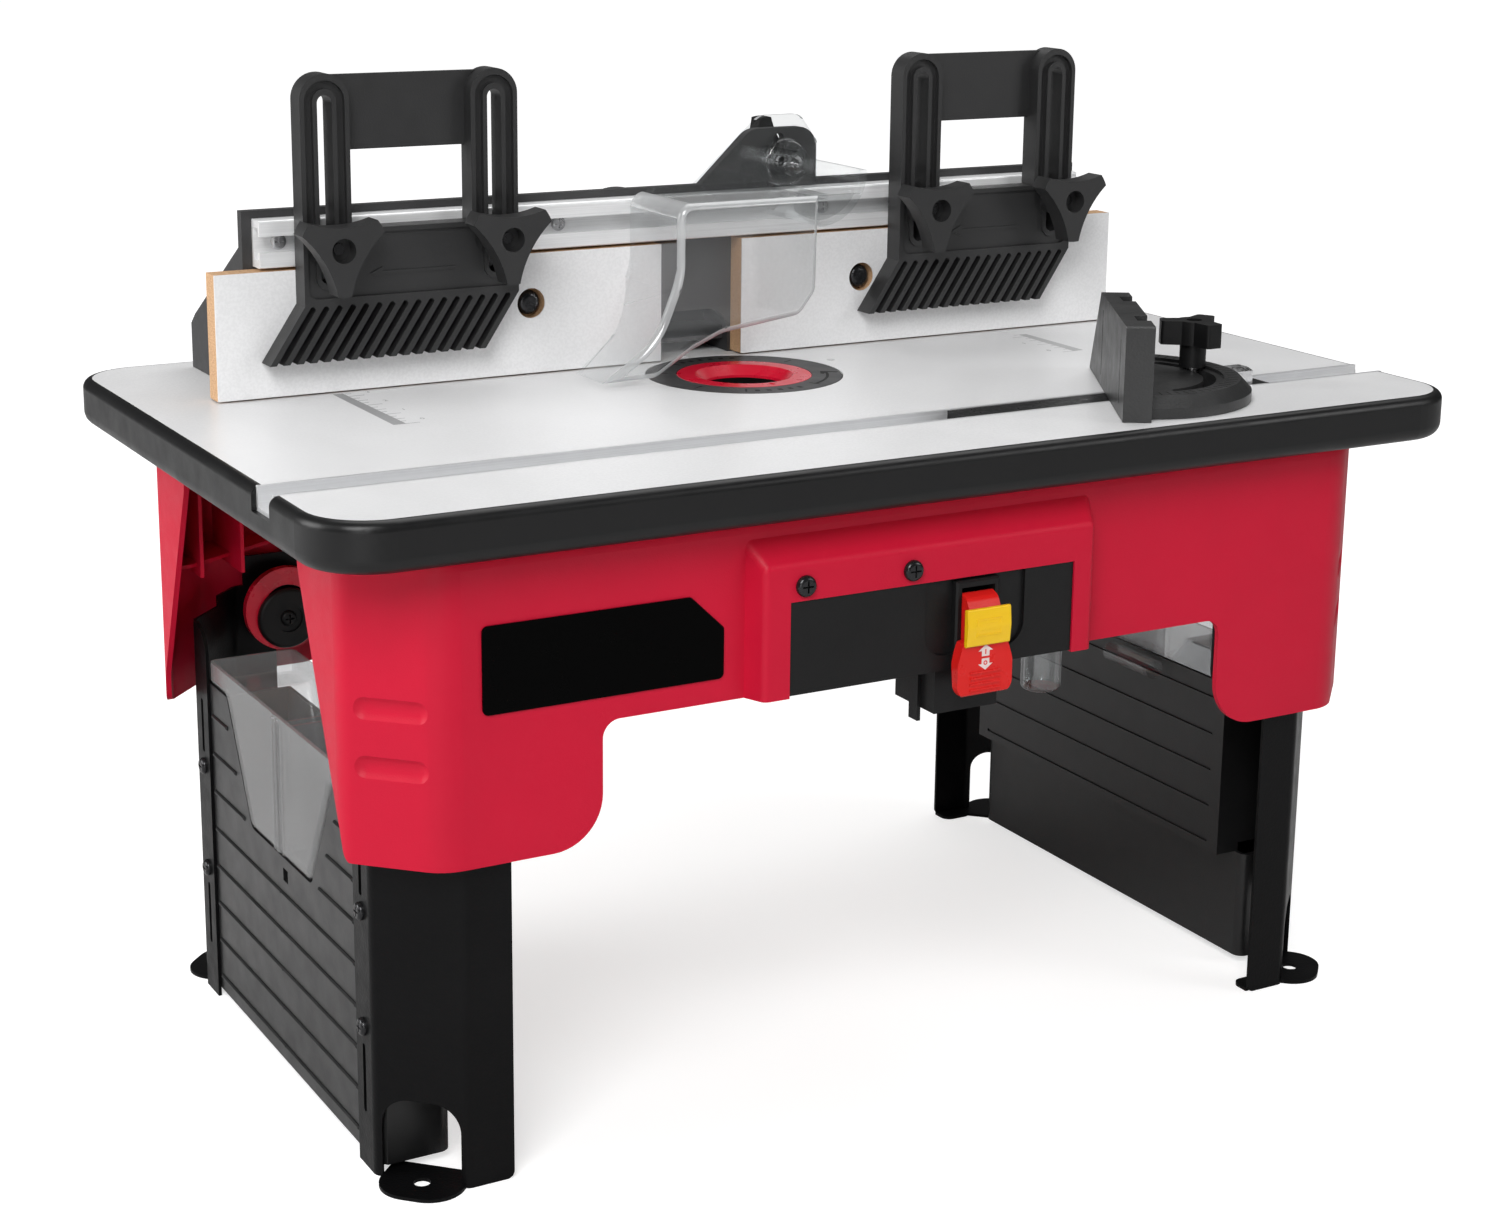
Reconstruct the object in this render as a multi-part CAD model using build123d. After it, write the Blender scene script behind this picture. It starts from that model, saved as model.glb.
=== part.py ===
from build123d import *
import os

# Benchtop router table, in millimetres. +X is right, +Y is back, +Z is up.
# The origin is on the floor, under the centre of the top.

# ---------------------------------------------------------------- driving dimensions
TOP_LENGTH = 652.0  # laminate, along X
TOP_DEPTH = 384.0  # laminate, along Y
TOP_HEIGHT = 346.0
TOP_CORNER = 30.0
LAMINATE = 1.5
CORE = 20.5
BAND_HEIGHT = 25.0
BAND_BULGE = 5.0

SLOT_Y = -117.8  # centre line of the miter slot
SLOT_WIDTH = 19.2
SLOT_DEPTH = 10.0
TRACK_WIDTH = 24.0
TRACK_DEPTH = 12.0

ROUTER_Y = 23.5  # centre of the router opening
PLATE_RADIUS = 55.0
PLATE_THICKNESS = 6.5
INSERT_RADIUS = 37.8
INSERT_THICKNESS = 4.0
SKIRT_RADIUS = 32.9
BIT_HOLE_RADIUS = 22.4
STARTER_HOLES = [(64.6, 37.4), (-6.6, 82.0)]

SHEET = 1.8  # steel of the legs
LEG_SIDE_X = 287.5  # outer face of the side flange
LEG_FRONT_Y = 162.5  # outer face of the front or rear flange
LEG_SIDE_EDGE_Y = 107.5
LEG_SIDE_BEND_Y = 128.5
LEG_FRONT_BEND_X = 252.8
LEG_FRONT_EDGE_X = 228.7
LEG_SCREW_Y = 117.0
LEG_SCREW_HEIGHTS = (74.0, 134.0)
LEG_SLOT_HEIGHTS = ((29.0, 65.0), (142.0, 173.0))
LEG_TOP = 238.0
LEG_WIDE_X = 190.0  # inner edge of the widened upper flange
LEG_WIDE_Z = 186.0
STORE_X = -226.0  # spare insert on the rear left leg
STORE_Z = 203.0
STORE_FRONT_Y = 148.5
FOOT_HOLE_X = 271.5
FOOT_HOLE_Y = 148.5
FOOT_HOLE_RADIUS = 4.2

WALL = 3.0  # shroud wall
SHROUD_SIDE_X = 302.7
SHROUD_FRONT_Y = 172.0
SHROUD_SIDE_BEND_Y = 136.0
SHROUD_FRONT_BEND_X = 266.6
SHROUD_SIDE_EDGE_Y = 85.0
SHROUD_BOTTOM = 168.0
APRON_BOTTOM = 230.0
APRON_HALF = 185.0
BOX_FRONT_Y = 184.0
BOX_LEFT = -104.0
BOX_RIGHT = 90.0
BOX_TOP = 297.0
NOTCH_LEFT = -90.0
NOTCH_RIGHT = 78.0
NOTCH_TOP = 278.5

SWITCH_X = 18.0
SWITCH_PIVOT_Y = -176.0
SWITCH_PIVOT_Z = 257.0

SIDE_WALL = 2.5
SIDE_OUTER_X = LEG_SIDE_X - SHEET
SIDE_LOWER_X = 248.0
SIDE_UPPER_X = 235.0
SIDE_BOTTOM = 5.0
SIDE_STEP = 68.0
SIDE_INNER_TOP = 171.0
SIDE_OUTER_TOP = 184.0
RIB_PITCH = 21.8
RIB_FIRST = 13.7
BIN_BOTTOM = 121.5
BIN_TOP = 198.0
BIN_HALF_TOP = 78.0
BIN_HALF_BOTTOM = 44.0
BIN_RIM_HALF = 105.0

FENCE_FACE_Y = 73.5
FACE_THICKNESS = 13.0
FACE_INNER_X = 26.0
FACE_OUTER_X = 286.0
FACE_TOP = 413.5
FENCE_HALF = 266.0
RAIL_HALF = 260.5
FENCE_WALL = 6.0
FENCE_TOP = 444.0
FENCE_BACK_Y = 177.0
FENCE_FLOOR = 346.2
FLANGE_TOP = 353.0
FACE_BOLT_X = (106.6, 213.0)
FACE_BOLT_Z = 386.0
FACE_OUT_TRAVEL = 12.0
FACE_IN_TRAVEL = 14.0
CLAMP_X = 215.0
CLAMP_Y = 148.0
FENCE_TRAVEL = 20.0
PORT_Z = 400.0
PORT_RADIUS = 31.75

RAIL_FRONT_Y = 74.5
RAIL_BOTTOM = 415.0
RAIL_TOP = 440.0
RAIL_Z = (RAIL_BOTTOM + RAIL_TOP) / 2
RAIL_MOUTH = 8.5

BOARD_CENTRES = {"left": -181.0, "right": 185.0}
BOARD_FRONT_Y = 60.0
BOARD_BACK_Y = 73.2
BOARD_HALF = 61.0
BOARD_TOP = 516.0
BOARD_BODY_TOP = 435.3
BOARD_BODY_BOTTOM = 396.0
BOARD_TIP = 366.0
BOARD_BOLT_HALF = 47.5
BOARD_SLOT = (407.0, 505.0)
UPRIGHT_HALF = 13.5
FINGERS = 17
FINGER_LEAN = 20.0
FINGER_WIDTH = 3.6

BOLT_RADIUS = 3.0
BORE_RADIUS = 3.05  # knob bores, a running fit on the bolts
KNOB_RADIUS = 24.0

GUARD_FRONT_Y = 14.0
GUARD_LEFT = -46.0
GUARD_RIGHT = 42.0
GUARD_SHELF_Z = 444.0
GUARD_BACK_Y = 85.0
GUARD_THICKNESS = 3.0
GUARD_BOTTOM = 349.5
GUARD_KNOB_X = 57.0
GUARD_KNOB_Z = 455.0

PIVOT_X = 158.0  # miter gauge pivot, on the slot's centre line
HEAD_ANGLE = -30.0
HEAD_HALF = 74.0
HEAD_THICKNESS = 15.0
HEAD_TOP = 396.0
PROTRACTOR_RADIUS = 66.0
PROTRACTOR_TOP = 357.7
PIVOT_TOP = 355.5
STUD_RADIUS_OUT = 43.5
BAR_LEFT = 48.0
BAR_RIGHT = 250.0

LOW = (Align.CENTER, Align.CENTER, Align.MIN)
CORE_BOTTOM = TOP_HEIGHT - LAMINATE - CORE
LAMINATE_BOTTOM = TOP_HEIGHT - LAMINATE


# ---------------------------------------------------------------- helpers
def block(x0, x1, y0, y1, z0, z1):
    """A box between two corners."""
    return Pos((x0 + x1) / 2, (y0 + y1) / 2, (z0 + z1) / 2) * Box(x1 - x0, y1 - y0, z1 - z0)


def outline(points, radii):
    """A flat closed face with a fillet at each corner."""
    if not isinstance(radii, (list, tuple)):
        radii = [radii] * len(points)
    return make_face(FilletPolyline(*points, radius=radii, close=True))


def prism_x(points, x0, x1, radii=0.0):
    """(y, z) outline, extruded along X."""
    return extrude(Plane.YZ.offset(x0) * outline(points, radii), amount=x1 - x0, dir=(1, 0, 0))


def prism_y(points, y0, y1, radii=0.0):
    """(x, z) outline, extruded along Y."""
    return extrude(Plane.XZ.offset(-y0) * outline(points, radii), amount=y1 - y0, dir=(0, 1, 0))


def prism_z(points, z0, z1, radii=0.0):
    """(x, y) outline, extruded along Z."""
    return extrude(Plane.XY.offset(z0) * outline(points, radii), amount=z1 - z0, dir=(0, 0, 1))


def rod_x(radius, x0, x1, y, z):
    return Pos(x0, y, z) * Rot(0, 90, 0) * Cylinder(radius, x1 - x0, align=LOW)


def rod_y(radius, y0, y1, x, z):
    return Pos(x, y0, z) * Rot(-90, 0, 0) * Cylinder(radius, y1 - y0, align=LOW)


def rod_z(radius, z0, z1, x, y):
    return Pos(x, y, z0) * Cylinder(radius, z1 - z0, align=LOW)


def rectangle(x0, x1, y0, y1):
    return [(x0, y0), (x1, y0), (x1, y1), (x0, y1)]


def slot_y(x, z0, z1, width, y0, y1):
    """An upright round-ended slot cut along Y; z0 and z1 are its ends."""
    half = width / 2
    return prism_y(rectangle(x - half, x + half, z0, z1), y0, y1, half * 0.999)


def flip_x(part):
    return mirror(part, about=Plane.YZ)


def flip_y(part):
    return mirror(part, about=Plane.XZ)


def pan_screw(head_radius, head_height, shank_radius, shank_length):
    """Cross-recess screw along Z: the head stands above z = 0, the shank goes below."""
    head = Cylinder(head_radius, head_height, align=LOW)
    head = fillet(head.edges().sort_by(Axis.Z)[-1], head_height * 0.75)
    arm = head_radius * 1.15
    for size in ((arm, 0.9), (0.9, arm)):
        head -= Pos(0, 0, head_height * 0.35) * Box(*size, head_height, align=LOW)
    return head + Pos(0, 0, -shank_length) * Cylinder(shank_radius, shank_length, align=LOW)


def lobe_knob(radius, wing, hub_radius, hub, bore_depth):
    """Three-lobed knob along Z: hub from z = 0, concave wings above it, a deep round recess on top."""
    wings = Pos(0, 0, hub) * Cylinder(radius, wing, align=LOW)
    for angle in (60, 180, 300):
        hollow = Pos(radius * 2.95, 0, hub - 1) * Cylinder(radius * 2.45, wing + 2, align=LOW)
        wings -= Rot(0, 0, angle) * hollow
    knob = wings + Cylinder(hub_radius, hub + wing * 0.5, align=LOW)
    knob -= Pos(0, 0, hub + wing * 0.35) * Cylinder(radius * 0.27, wing, align=LOW)
    return knob - Pos(0, 0, -1) * Cylinder(BORE_RADIUS, bore_depth + 1, align=LOW)


# ---------------------------------------------------------------- tabletop
def top_outline(grow):
    half_x = TOP_LENGTH / 2 + grow
    half_y = TOP_DEPTH / 2 + grow
    return rectangle(-half_x, half_x, -half_y, half_y), TOP_CORNER + grow


def track_groove(width, reach, bottom):
    return block(-reach, reach, SLOT_Y - width / 2, SLOT_Y + width / 2, bottom, TOP_HEIGHT + 1)


def top_cuts():
    """Everything that goes through both the laminate and the core."""
    cuts = track_groove(TRACK_WIDTH, TOP_LENGTH, TOP_HEIGHT - TRACK_DEPTH)
    cuts += rod_z(PLATE_RADIUS + 0.2, TOP_HEIGHT - PLATE_THICKNESS, TOP_HEIGHT + 1, 0, ROUTER_Y)
    cuts += rod_z(PLATE_RADIUS - 9, CORE_BOTTOM - 1, TOP_HEIGHT, 0, ROUTER_Y)
    for x in (-CLAMP_X, CLAMP_X):
        cuts += rod_z(BOLT_RADIUS + 0.2, CORE_BOTTOM - 1, TOP_HEIGHT + 1, x, CLAMP_Y)
    for x, y in STARTER_HOLES:
        cuts += rod_z(2.5, TOP_HEIGHT - 12, TOP_HEIGHT + 1, x, y)
    return cuts


def make_tabletop_core():
    points, radius = top_outline(0)
    core = prism_z(points, CORE_BOTTOM, LAMINATE_BOTTOM, radius) - top_cuts()
    for x, y in top_screw_places():
        core -= rod_z(2.0, CORE_BOTTOM - 1, CORE_BOTTOM + 9.5, x, y)
    return core


def make_tabletop_laminate():
    points, radius = top_outline(0)
    return prism_z(points, LAMINATE_BOTTOM, TOP_HEIGHT, radius) - top_cuts()


def make_edge_band():
    """T-moulding: a soft D section round the whole edge, notched where the miter slot runs out."""
    bottom = TOP_HEIGHT - BAND_HEIGHT
    points, radius = top_outline(BAND_BULGE)
    band = prism_z(points, bottom, TOP_HEIGHT, radius)
    band = fillet(band.edges().group_by(Axis.Z)[-1], BAND_BULGE * 0.96)
    band = fillet(band.edges().group_by(Axis.Z)[0], BAND_BULGE * 1.5)
    points, radius = top_outline(0)
    band -= prism_z(points, bottom - 1, TOP_HEIGHT + 1, radius)
    return band - track_groove(TRACK_WIDTH, TOP_LENGTH, TOP_HEIGHT - TRACK_DEPTH)


def make_miter_track():
    """Aluminium channel with small beads along its two top lips."""
    half = TRACK_WIDTH / 2
    reach = TOP_LENGTH / 2 + BAND_BULGE * 0.5
    track = block(-reach, reach, SLOT_Y - half, SLOT_Y + half, TOP_HEIGHT - TRACK_DEPTH, TOP_HEIGHT)
    return track - track_groove(SLOT_WIDTH, TOP_LENGTH, TOP_HEIGHT - SLOT_DEPTH)


def make_router_plate():
    """Black twist-lock ring, flush with the top, with a ledge for the insert."""
    plate = rod_z(PLATE_RADIUS, TOP_HEIGHT - PLATE_THICKNESS, TOP_HEIGHT, 0, ROUTER_Y)
    plate = chamfer(plate.edges().group_by(Axis.Z)[-1], 0.6)
    plate -= rod_z(INSERT_RADIUS + 0.05, TOP_HEIGHT - INSERT_THICKNESS, TOP_HEIGHT + 1, 0, ROUTER_Y)
    plate -= rod_z(SKIRT_RADIUS + 0.1, TOP_HEIGHT - 10, TOP_HEIGHT, 0, ROUTER_Y)
    return plate


def make_insert_ring():
    """Red dished insert with two finger recesses."""
    ring = rod_z(INSERT_RADIUS, TOP_HEIGHT - INSERT_THICKNESS, TOP_HEIGHT, 0, ROUTER_Y)
    ring = chamfer(ring.edges().group_by(Axis.Z)[-1], 0.5)
    ring += rod_z(SKIRT_RADIUS, TOP_HEIGHT - PLATE_THICKNESS, TOP_HEIGHT - INSERT_THICKNESS, 0, ROUTER_Y)
    ring -= rod_z(BIT_HOLE_RADIUS, TOP_HEIGHT - 10, TOP_HEIGHT + 1, 0, ROUTER_Y)
    funnel = Pos(0, ROUTER_Y, TOP_HEIGHT - 5) * Cone(BIT_HOLE_RADIUS, BIT_HOLE_RADIUS + 5.1, 5.1, align=LOW)
    ring -= funnel
    for y in (-31.5, 31.5):
        ring -= rod_z(1.8, TOP_HEIGHT - 2, TOP_HEIGHT + 1, 0, ROUTER_Y + y)
    return ring


def make_router_bracket():
    """Steel plate under the top that the router's base bolts to."""
    size = 80.0
    outline = rectangle(-size, size, ROUTER_Y - size, ROUTER_Y + size)
    bracket = prism_z(outline, CORE_BOTTOM - 4, CORE_BOTTOM, 18.0)
    bracket -= rod_z(PLATE_RADIUS - 9, CORE_BOTTOM - 5, CORE_BOTTOM + 1, 0, ROUTER_Y)
    for angle in (45, 135, 225, 315):
        hole = rod_z(2.8, CORE_BOTTOM - 5, CORE_BOTTOM + 1, 64.5, 0)
        bracket -= Pos(0, ROUTER_Y, 0) * Rot(0, 0, angle) * hole
    return bracket


# ---------------------------------------------------------------- legs
def leg_path(inset):
    """Front left leg, outer face of the sheet, or a line inset from it."""
    bend = inset * 0.4142
    return [
        (-LEG_SIDE_X + inset, -LEG_SIDE_EDGE_Y),
        (-LEG_SIDE_X + inset, -LEG_SIDE_BEND_Y + bend),
        (-LEG_FRONT_BEND_X + bend, -LEG_FRONT_Y + inset),
        (-LEG_FRONT_EDGE_X, -LEG_FRONT_Y + inset),
    ]


def leg_section(z0, z1):
    points = leg_path(0) + leg_path(SHEET)[::-1]
    radii = [0, 6.0, 6.0, 0, 0, 4.2, 4.2, 0]
    return prism_z(points, z0, z1, radii)


def top_screw_places():
    """Screws from the shrouds' flanges up into the core."""
    places = []
    for sx in (-1, 1):
        for sy in (-1, 1):
            places += [(sx * 274.0, sy * 138.0), (sx * 196.0, sy * 154.0)]
    return places


def foot_plate():
    """Rounded floor tab across the chamfered corner."""
    tab = prism_z(rectangle(-17.0, 16.5, -21.5, 21.5), 0, SHEET, [17.0, 4.0, 4.0, 17.0])
    return Pos(-FOOT_HOLE_X + 0.5, -FOOT_HOLE_Y + 0.5, 0) * Rot(0, 0, 45) * tab


def make_front_left_leg():
    leg = leg_section(0, LEG_TOP)
    # the upper flange widens behind the shroud's leg block
    wide = rectangle(-LEG_FRONT_EDGE_X - 1, -LEG_WIDE_X, LEG_WIDE_Z, LEG_TOP)
    leg += prism_y(wide, -LEG_FRONT_Y, -LEG_FRONT_Y + SHEET, [0, 12, 6, 0])
    leg -= rod_y(2.2, -LEG_FRONT_Y - 1, -LEG_FRONT_Y + 3, STORE_X, STORE_Z)
    # the top edge steps down across the chamfer to a rounded corner on the side flange
    leg -= block(-300, -267, -150, -100, 215, LEG_TOP + 1)
    leg -= block(-300, -247, -170, -100, 221, LEG_TOP + 1)
    corner = block(-LEG_SIDE_X - 1, -LEG_SIDE_X + SHEET + 1, -124, -LEG_SIDE_EDGE_Y + 1, 199, 216)
    leg -= corner - rod_x(16.5, -300, -270, -LEG_SIDE_EDGE_Y - 16.5, 198.5)
    # arch above the floor tab, as wide as the chamfer
    arch = Pos(-270.2, -145.5, 0) * Rot(0, 0, 45) * prism_x(
        [(-20.5, SHEET), (20.5, SHEET), (20.5, 42), (-20.5, 42)], -9, 9, [0, 0, 14, 14])
    leg -= arch
    leg += foot_plate()
    leg -= rod_z(FOOT_HOLE_RADIUS, -1, SHEET + 1, -FOOT_HOLE_X, -FOOT_HOLE_Y)
    # inner floor tab under the front flange, with a rounded end
    leg += prism_z(rectangle(-250, -LEG_FRONT_EDGE_X, -LEG_FRONT_Y, -148), 0, SHEET, [0, 0, 6.0, 6.0])
    for z in LEG_SCREW_HEIGHTS:
        leg -= rod_x(2.2, -LEG_SIDE_X - 1, -LEG_SIDE_X + 3, -LEG_SCREW_Y, z)
    for z0, z1 in LEG_SLOT_HEIGHTS:
        slot = rectangle(-LEG_SCREW_Y - 1.8, -LEG_SCREW_Y + 1.8, z0, z1)
        leg -= prism_x(slot, -LEG_SIDE_X - 1, -LEG_SIDE_X + 3, 1.79)
    # rounded lower corner of the front flange
    edge = -LEG_FRONT_EDGE_X
    corner = block(edge - 4, edge + 1, -LEG_FRONT_Y - 1, -LEG_FRONT_Y + SHEET, -1, 4)
    corner -= rod_y(4, -LEG_FRONT_Y - 2, -LEG_FRONT_Y + 4, -LEG_FRONT_EDGE_X - 4, 4)
    return leg - corner


def make_leg_screws():
    """Cross-recess screws that hold the side panels to the side flanges."""
    screws = []
    for z in LEG_SCREW_HEIGHTS:
        for y in (-LEG_SCREW_Y, LEG_SCREW_Y):
            screw = Pos(-LEG_SIDE_X, y, z) * Rot(0, -90, 0) * pan_screw(4.6, 2.6, 2.0, 6.0)
            screws += [screw, flip_x(screw)]
    return screws


def make_top_screws():
    screw = Rot(180, 0, 0) * pan_screw(4.6, 2.6, 1.95, 10.5)
    return [Pos(x, y, CORE_BOTTOM - WALL) * screw for x, y in top_screw_places()]


# ---------------------------------------------------------------- shrouds
def shroud_plan(inset):
    """Front shroud in plan; the inside reaches further back, so the shell is open there."""
    bend = inset * 0.4142
    half = [
        (-SHROUD_SIDE_X + inset, -SHROUD_SIDE_EDGE_Y + 1 + inset * 2),
        (-SHROUD_SIDE_X + inset, -SHROUD_SIDE_BEND_Y + bend),
        (-SHROUD_FRONT_BEND_X + bend, -SHROUD_FRONT_Y + inset),
    ]
    return half + [(-x, y) for x, y in half[::-1]]


def shroud_body(inset, bottom):
    """Solid body of the shroud with a rounded shoulder, or its inside."""
    radii = [0, 14 - inset, 24 - inset, 24 - inset, 14 - inset, 0]
    body = prism_z(shroud_plan(inset), bottom, CORE_BOTTOM - inset, radii)
    open_edge = -SHROUD_SIDE_EDGE_Y + inset
    shoulder = [edge for edge in body.edges().group_by(Axis.Z)[-1] if edge.center().Y < open_edge]
    return fillet(shoulder, 12.0 - inset)


def shroud_shell():
    """Chamfered cover with a rounded shoulder under the top, returns at both ends and a bridge-like apron."""
    shell = shroud_body(0, SHROUD_BOTTOM) - shroud_body(WALL, SHROUD_BOTTOM - 1)
    # the lid stays only as a screw flange behind the apron and across the corners
    rim = [(-292, -80), (-292, -112), (-236, -157)]
    shell -= prism_z(rim + [(-x, y) for x, y in rim[::-1]], CORE_BOTTOM - WALL - 1, CORE_BOTTOM + 1)
    lug = block(-204, -188, -161, -147, CORE_BOTTOM - WALL, CORE_BOTTOM)
    shell += lug + flip_x(lug)
    for x, y in top_screw_places():
        shell -= rod_z(2.2, CORE_BOTTOM - 5, CORE_BOTTOM + 1, x, y)
    # ribs inside the corners, above the legs
    for rib_x in (-285.0, -262.0):
        rib = block(rib_x, rib_x + 2, -166, -118, LEG_TOP + 3, CORE_BOTTOM - 1)
        rib &= shroud_body(WALL - 0.4, SHROUD_BOTTOM)
        shell += rib + flip_x(rib)
    shelf = block(-300, -230, -170, -122, LEG_TOP + 8, LEG_TOP + 10) & shroud_body(WALL - 0.4, SHROUD_BOTTOM)
    shelf -= prism_z([(-310, -110), (-232, -110), (-232, -154)], 200, 300)
    shell += shelf + flip_x(shelf)
    # grip recesses on the corner chamfers
    middle = ((SHROUD_SIDE_X + SHROUD_FRONT_BEND_X) / 2, (SHROUD_FRONT_Y + SHROUD_SIDE_BEND_Y) / 2)
    for z in (216.5, 245.0):
        grip = Rot(0, 90, 0) * Cylinder(8.5, 26) + Pos(-13, 0, 0) * Sphere(8.5) + Pos(13, 0, 0) * Sphere(8.5)
        grip = Pos(-middle[0], -middle[1], z) * Rot(0, 0, -45) * Pos(0, -6.5, 0) * grip
        shell -= grip + flip_x(grip)
    # front outline
    gap = rectangle(-APRON_HALF, APRON_HALF, SHROUD_BOTTOM - 30, APRON_BOTTOM)
    shell -= prism_y(gap, -200, -140, [0, 0, 9, 9])
    inner_corners = [
        edge for edge in shell.edges().filter_by(Axis.Y)
        if abs(abs(edge.center().X) - APRON_HALF) < 0.5 and abs(edge.center().Z - SHROUD_BOTTOM) < 0.5
    ]
    shell = fillet(inner_corners, 26.0)
    # tapered side returns
    taper = [
        (-85, 340), (-85, 300), (-132, 184), (-136, 166),
        (-152, 166), (-152, 150), (-40, 150), (-40, 340),
    ]
    cut = prism_x(taper, -320, -289, [0, 20, 20, 9, 0, 0, 0, 0])
    shell -= cut + flip_x(cut)
    return shell


def make_shroud_front():
    """Front shroud with the forward box that carries the switch panel."""
    shell = shroud_shell()
    bump = switch_box(0)
    bump = fillet(bump.edges().filter_by(Axis.X).sort_by(Axis.Y)[:2].sort_by(Axis.Z)[-1:], 5.0)
    shell += bump
    shell -= switch_box(WALL)
    shell -= block(NOTCH_LEFT, NOTCH_RIGHT, -BOX_FRONT_Y - 2, -BOX_FRONT_Y + 6, 200, NOTCH_TOP)
    for x in (-82.0, -20.5):
        shell -= rod_y(2.2, -BOX_FRONT_Y - 1, -BOX_FRONT_Y + 8, x, 286.0)
    return shell


def switch_box(inset):
    """Forward box on the apron, or its inside."""
    front = -BOX_FRONT_Y + inset
    back = -SHROUD_FRONT_Y + WALL + (0.5 if inset else 0)
    left, right = BOX_LEFT + inset, BOX_RIGHT - inset
    plan = [(left - 6, back), (left, front), (right, front), (right + 6, back)]
    floor = APRON_BOTTOM - (1 if inset else 0)
    side = [(front, floor), (front, BOX_TOP - inset), (back, BOX_TOP + 15 - inset), (back, floor)]
    radii = [0, 4, 4, 0] if not inset else 0
    return prism_z(plan, floor - 1, 340, radii) & prism_x(side, -200, 200)


def make_shroud_rear():
    """Rear shroud: the same cover turned round, with a plain apron."""
    return flip_y(shroud_shell())


def make_nameplate():
    """Blank plate with one cut corner."""
    points = [(-246.8, 242.0), (-120.5, 242.0), (-120.5, 267.5), (-138.5, 284.8), (-246.8, 284.8)]
    plate = prism_y(points, -SHROUD_FRONT_Y - 0.9, -SHROUD_FRONT_Y, [3, 3, 2, 2, 3])
    return plate


def make_shroud_screws():
    screw = Rot(90, 0, 0) * pan_screw(5.4, 3.0, 2.0, 5.4)
    return [Pos(x, -BOX_FRONT_Y, 286.0) * screw for x in (-82.0, -20.5)]


# ---------------------------------------------------------------- switch
def make_switch_panel():
    """Black panel in the box's notch, with a shallow U-shaped recess round the switch."""
    front = -BOX_FRONT_Y + 1
    back = -BOX_FRONT_Y + 5.5
    panel = block(NOTCH_LEFT + 0.2, NOTCH_RIGHT - 0.2, front, back, APRON_BOTTOM + 1, NOTCH_TOP - 0.2)
    panel += block(NOTCH_LEFT - 8, NOTCH_RIGHT + 6, -BOX_FRONT_Y + WALL + 0.05, back, APRON_BOTTOM + 4, 292.0)
    recess = rectangle(SWITCH_X - 30, SWITCH_X + 30, 239.0, 300.0)
    recess = prism_y(recess, front - 1, front + 1.8, [12, 12, 0, 0])
    panel -= recess & block(-100, 100, -200, -100, 230, NOTCH_TOP - 0.2)
    panel -= block(SWITCH_X - 13.1, SWITCH_X + 13.1, front - 1, back + 1, 237.9, 277.1)
    for x in (-82.0, -20.5):
        panel -= rod_y(2.2, front - 2, back + 1, x, 286.0)
    return panel


def make_switch_housing():
    """Switch body behind the panel and the rocker frame that shows through it."""
    back = -BOX_FRONT_Y + 5.6
    body = block(SWITCH_X - 20, SWITCH_X + 18, back, -142.0, 207.0, 276.0)
    frame = block(SWITCH_X - 13, SWITCH_X + 13, -185.5, back, 238.0, 277.0)
    frame = chamfer(frame.edges().group_by(Axis.Y)[0], 1.0)
    body += frame
    body += block(SWITCH_X - 22, SWITCH_X - 20, -166.0, -158.0, 200.0, 232.0)
    return body - block(SWITCH_X - 10, SWITCH_X + 10, -190.0, -166.0, 241.0, 273.5)


def paddle_profile():
    """(y, z) section through the paddle, neck at the pivot, flap hanging in front."""
    return [
        (-177, 250), (-183, 248), (-186.5, 243), (-189.5, 219), (-193.5, 219),
        (-193.2, 246), (-193, 261), (-189, 268.5), (-183, 271), (-177, 264),
    ]


def make_switch_paddle():
    radii = [0, 2, 3, 1.5, 1.5, 10, 6, 5, 3, 0]
    paddle = prism_x(paddle_profile(), SWITCH_X - 9.5, SWITCH_X + 9.5, radii)
    paddle += rod_x(8.4, SWITCH_X - 9.5, SWITCH_X + 9.5, SWITCH_PIVOT_Y, SWITCH_PIVOT_Z)
    flap = [
        (SWITCH_X - 13, 247.0), (SWITCH_X - 16.5, 236.0), (SWITCH_X - 16.5, 218.0),
        (SWITCH_X + 16.5, 218.0), (SWITCH_X + 16.5, 236.0), (SWITCH_X + 13, 247.0),
    ]
    wide = prism_x(paddle_profile(), SWITCH_X - 17, SWITCH_X + 17, radii)
    paddle += wide & prism_y(flap, -196, -186.6, [2, 14, 7, 7, 14, 2])
    # grip lines across the lower flap
    for z in (221.5, 224.5, 227.5, 230.5):
        paddle += block(SWITCH_X - 9, SWITCH_X + 9, -194.1, -193.2, z, z + 1)
    # slot for the key's tongue
    return paddle - block(SWITCH_X - 8.05, SWITCH_X + 8.05, -195, -186, 251.95, 258.05)


def make_safety_key():
    """Yellow lock-out key: a curved pad with a tongue that plugs into the paddle."""
    pad = [(-193.3, 245.5), (-195.4, 245.0), (-196.4, 255.0), (-195.4, 265.0), (-193.3, 264.5)]
    key = prism_x(pad, SWITCH_X - 13, SWITCH_X + 13, [0, 1, 12, 1, 0])
    return key + block(SWITCH_X - 8, SWITCH_X + 8, -194, -187, 252, 258)


def make_bit_cup():
    """Small clear cup under the panel's right end."""
    y = -BOX_FRONT_Y + 5.5 + 10.5
    cup = rod_z(10.5, 207.0, 240.0, 71.0, y)
    cup = fillet(cup.edges().group_by(Axis.Z)[0], 3.0)
    cup -= rod_z(9.0, 208.6, 241.0, 71.0, y)
    return cup


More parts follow.
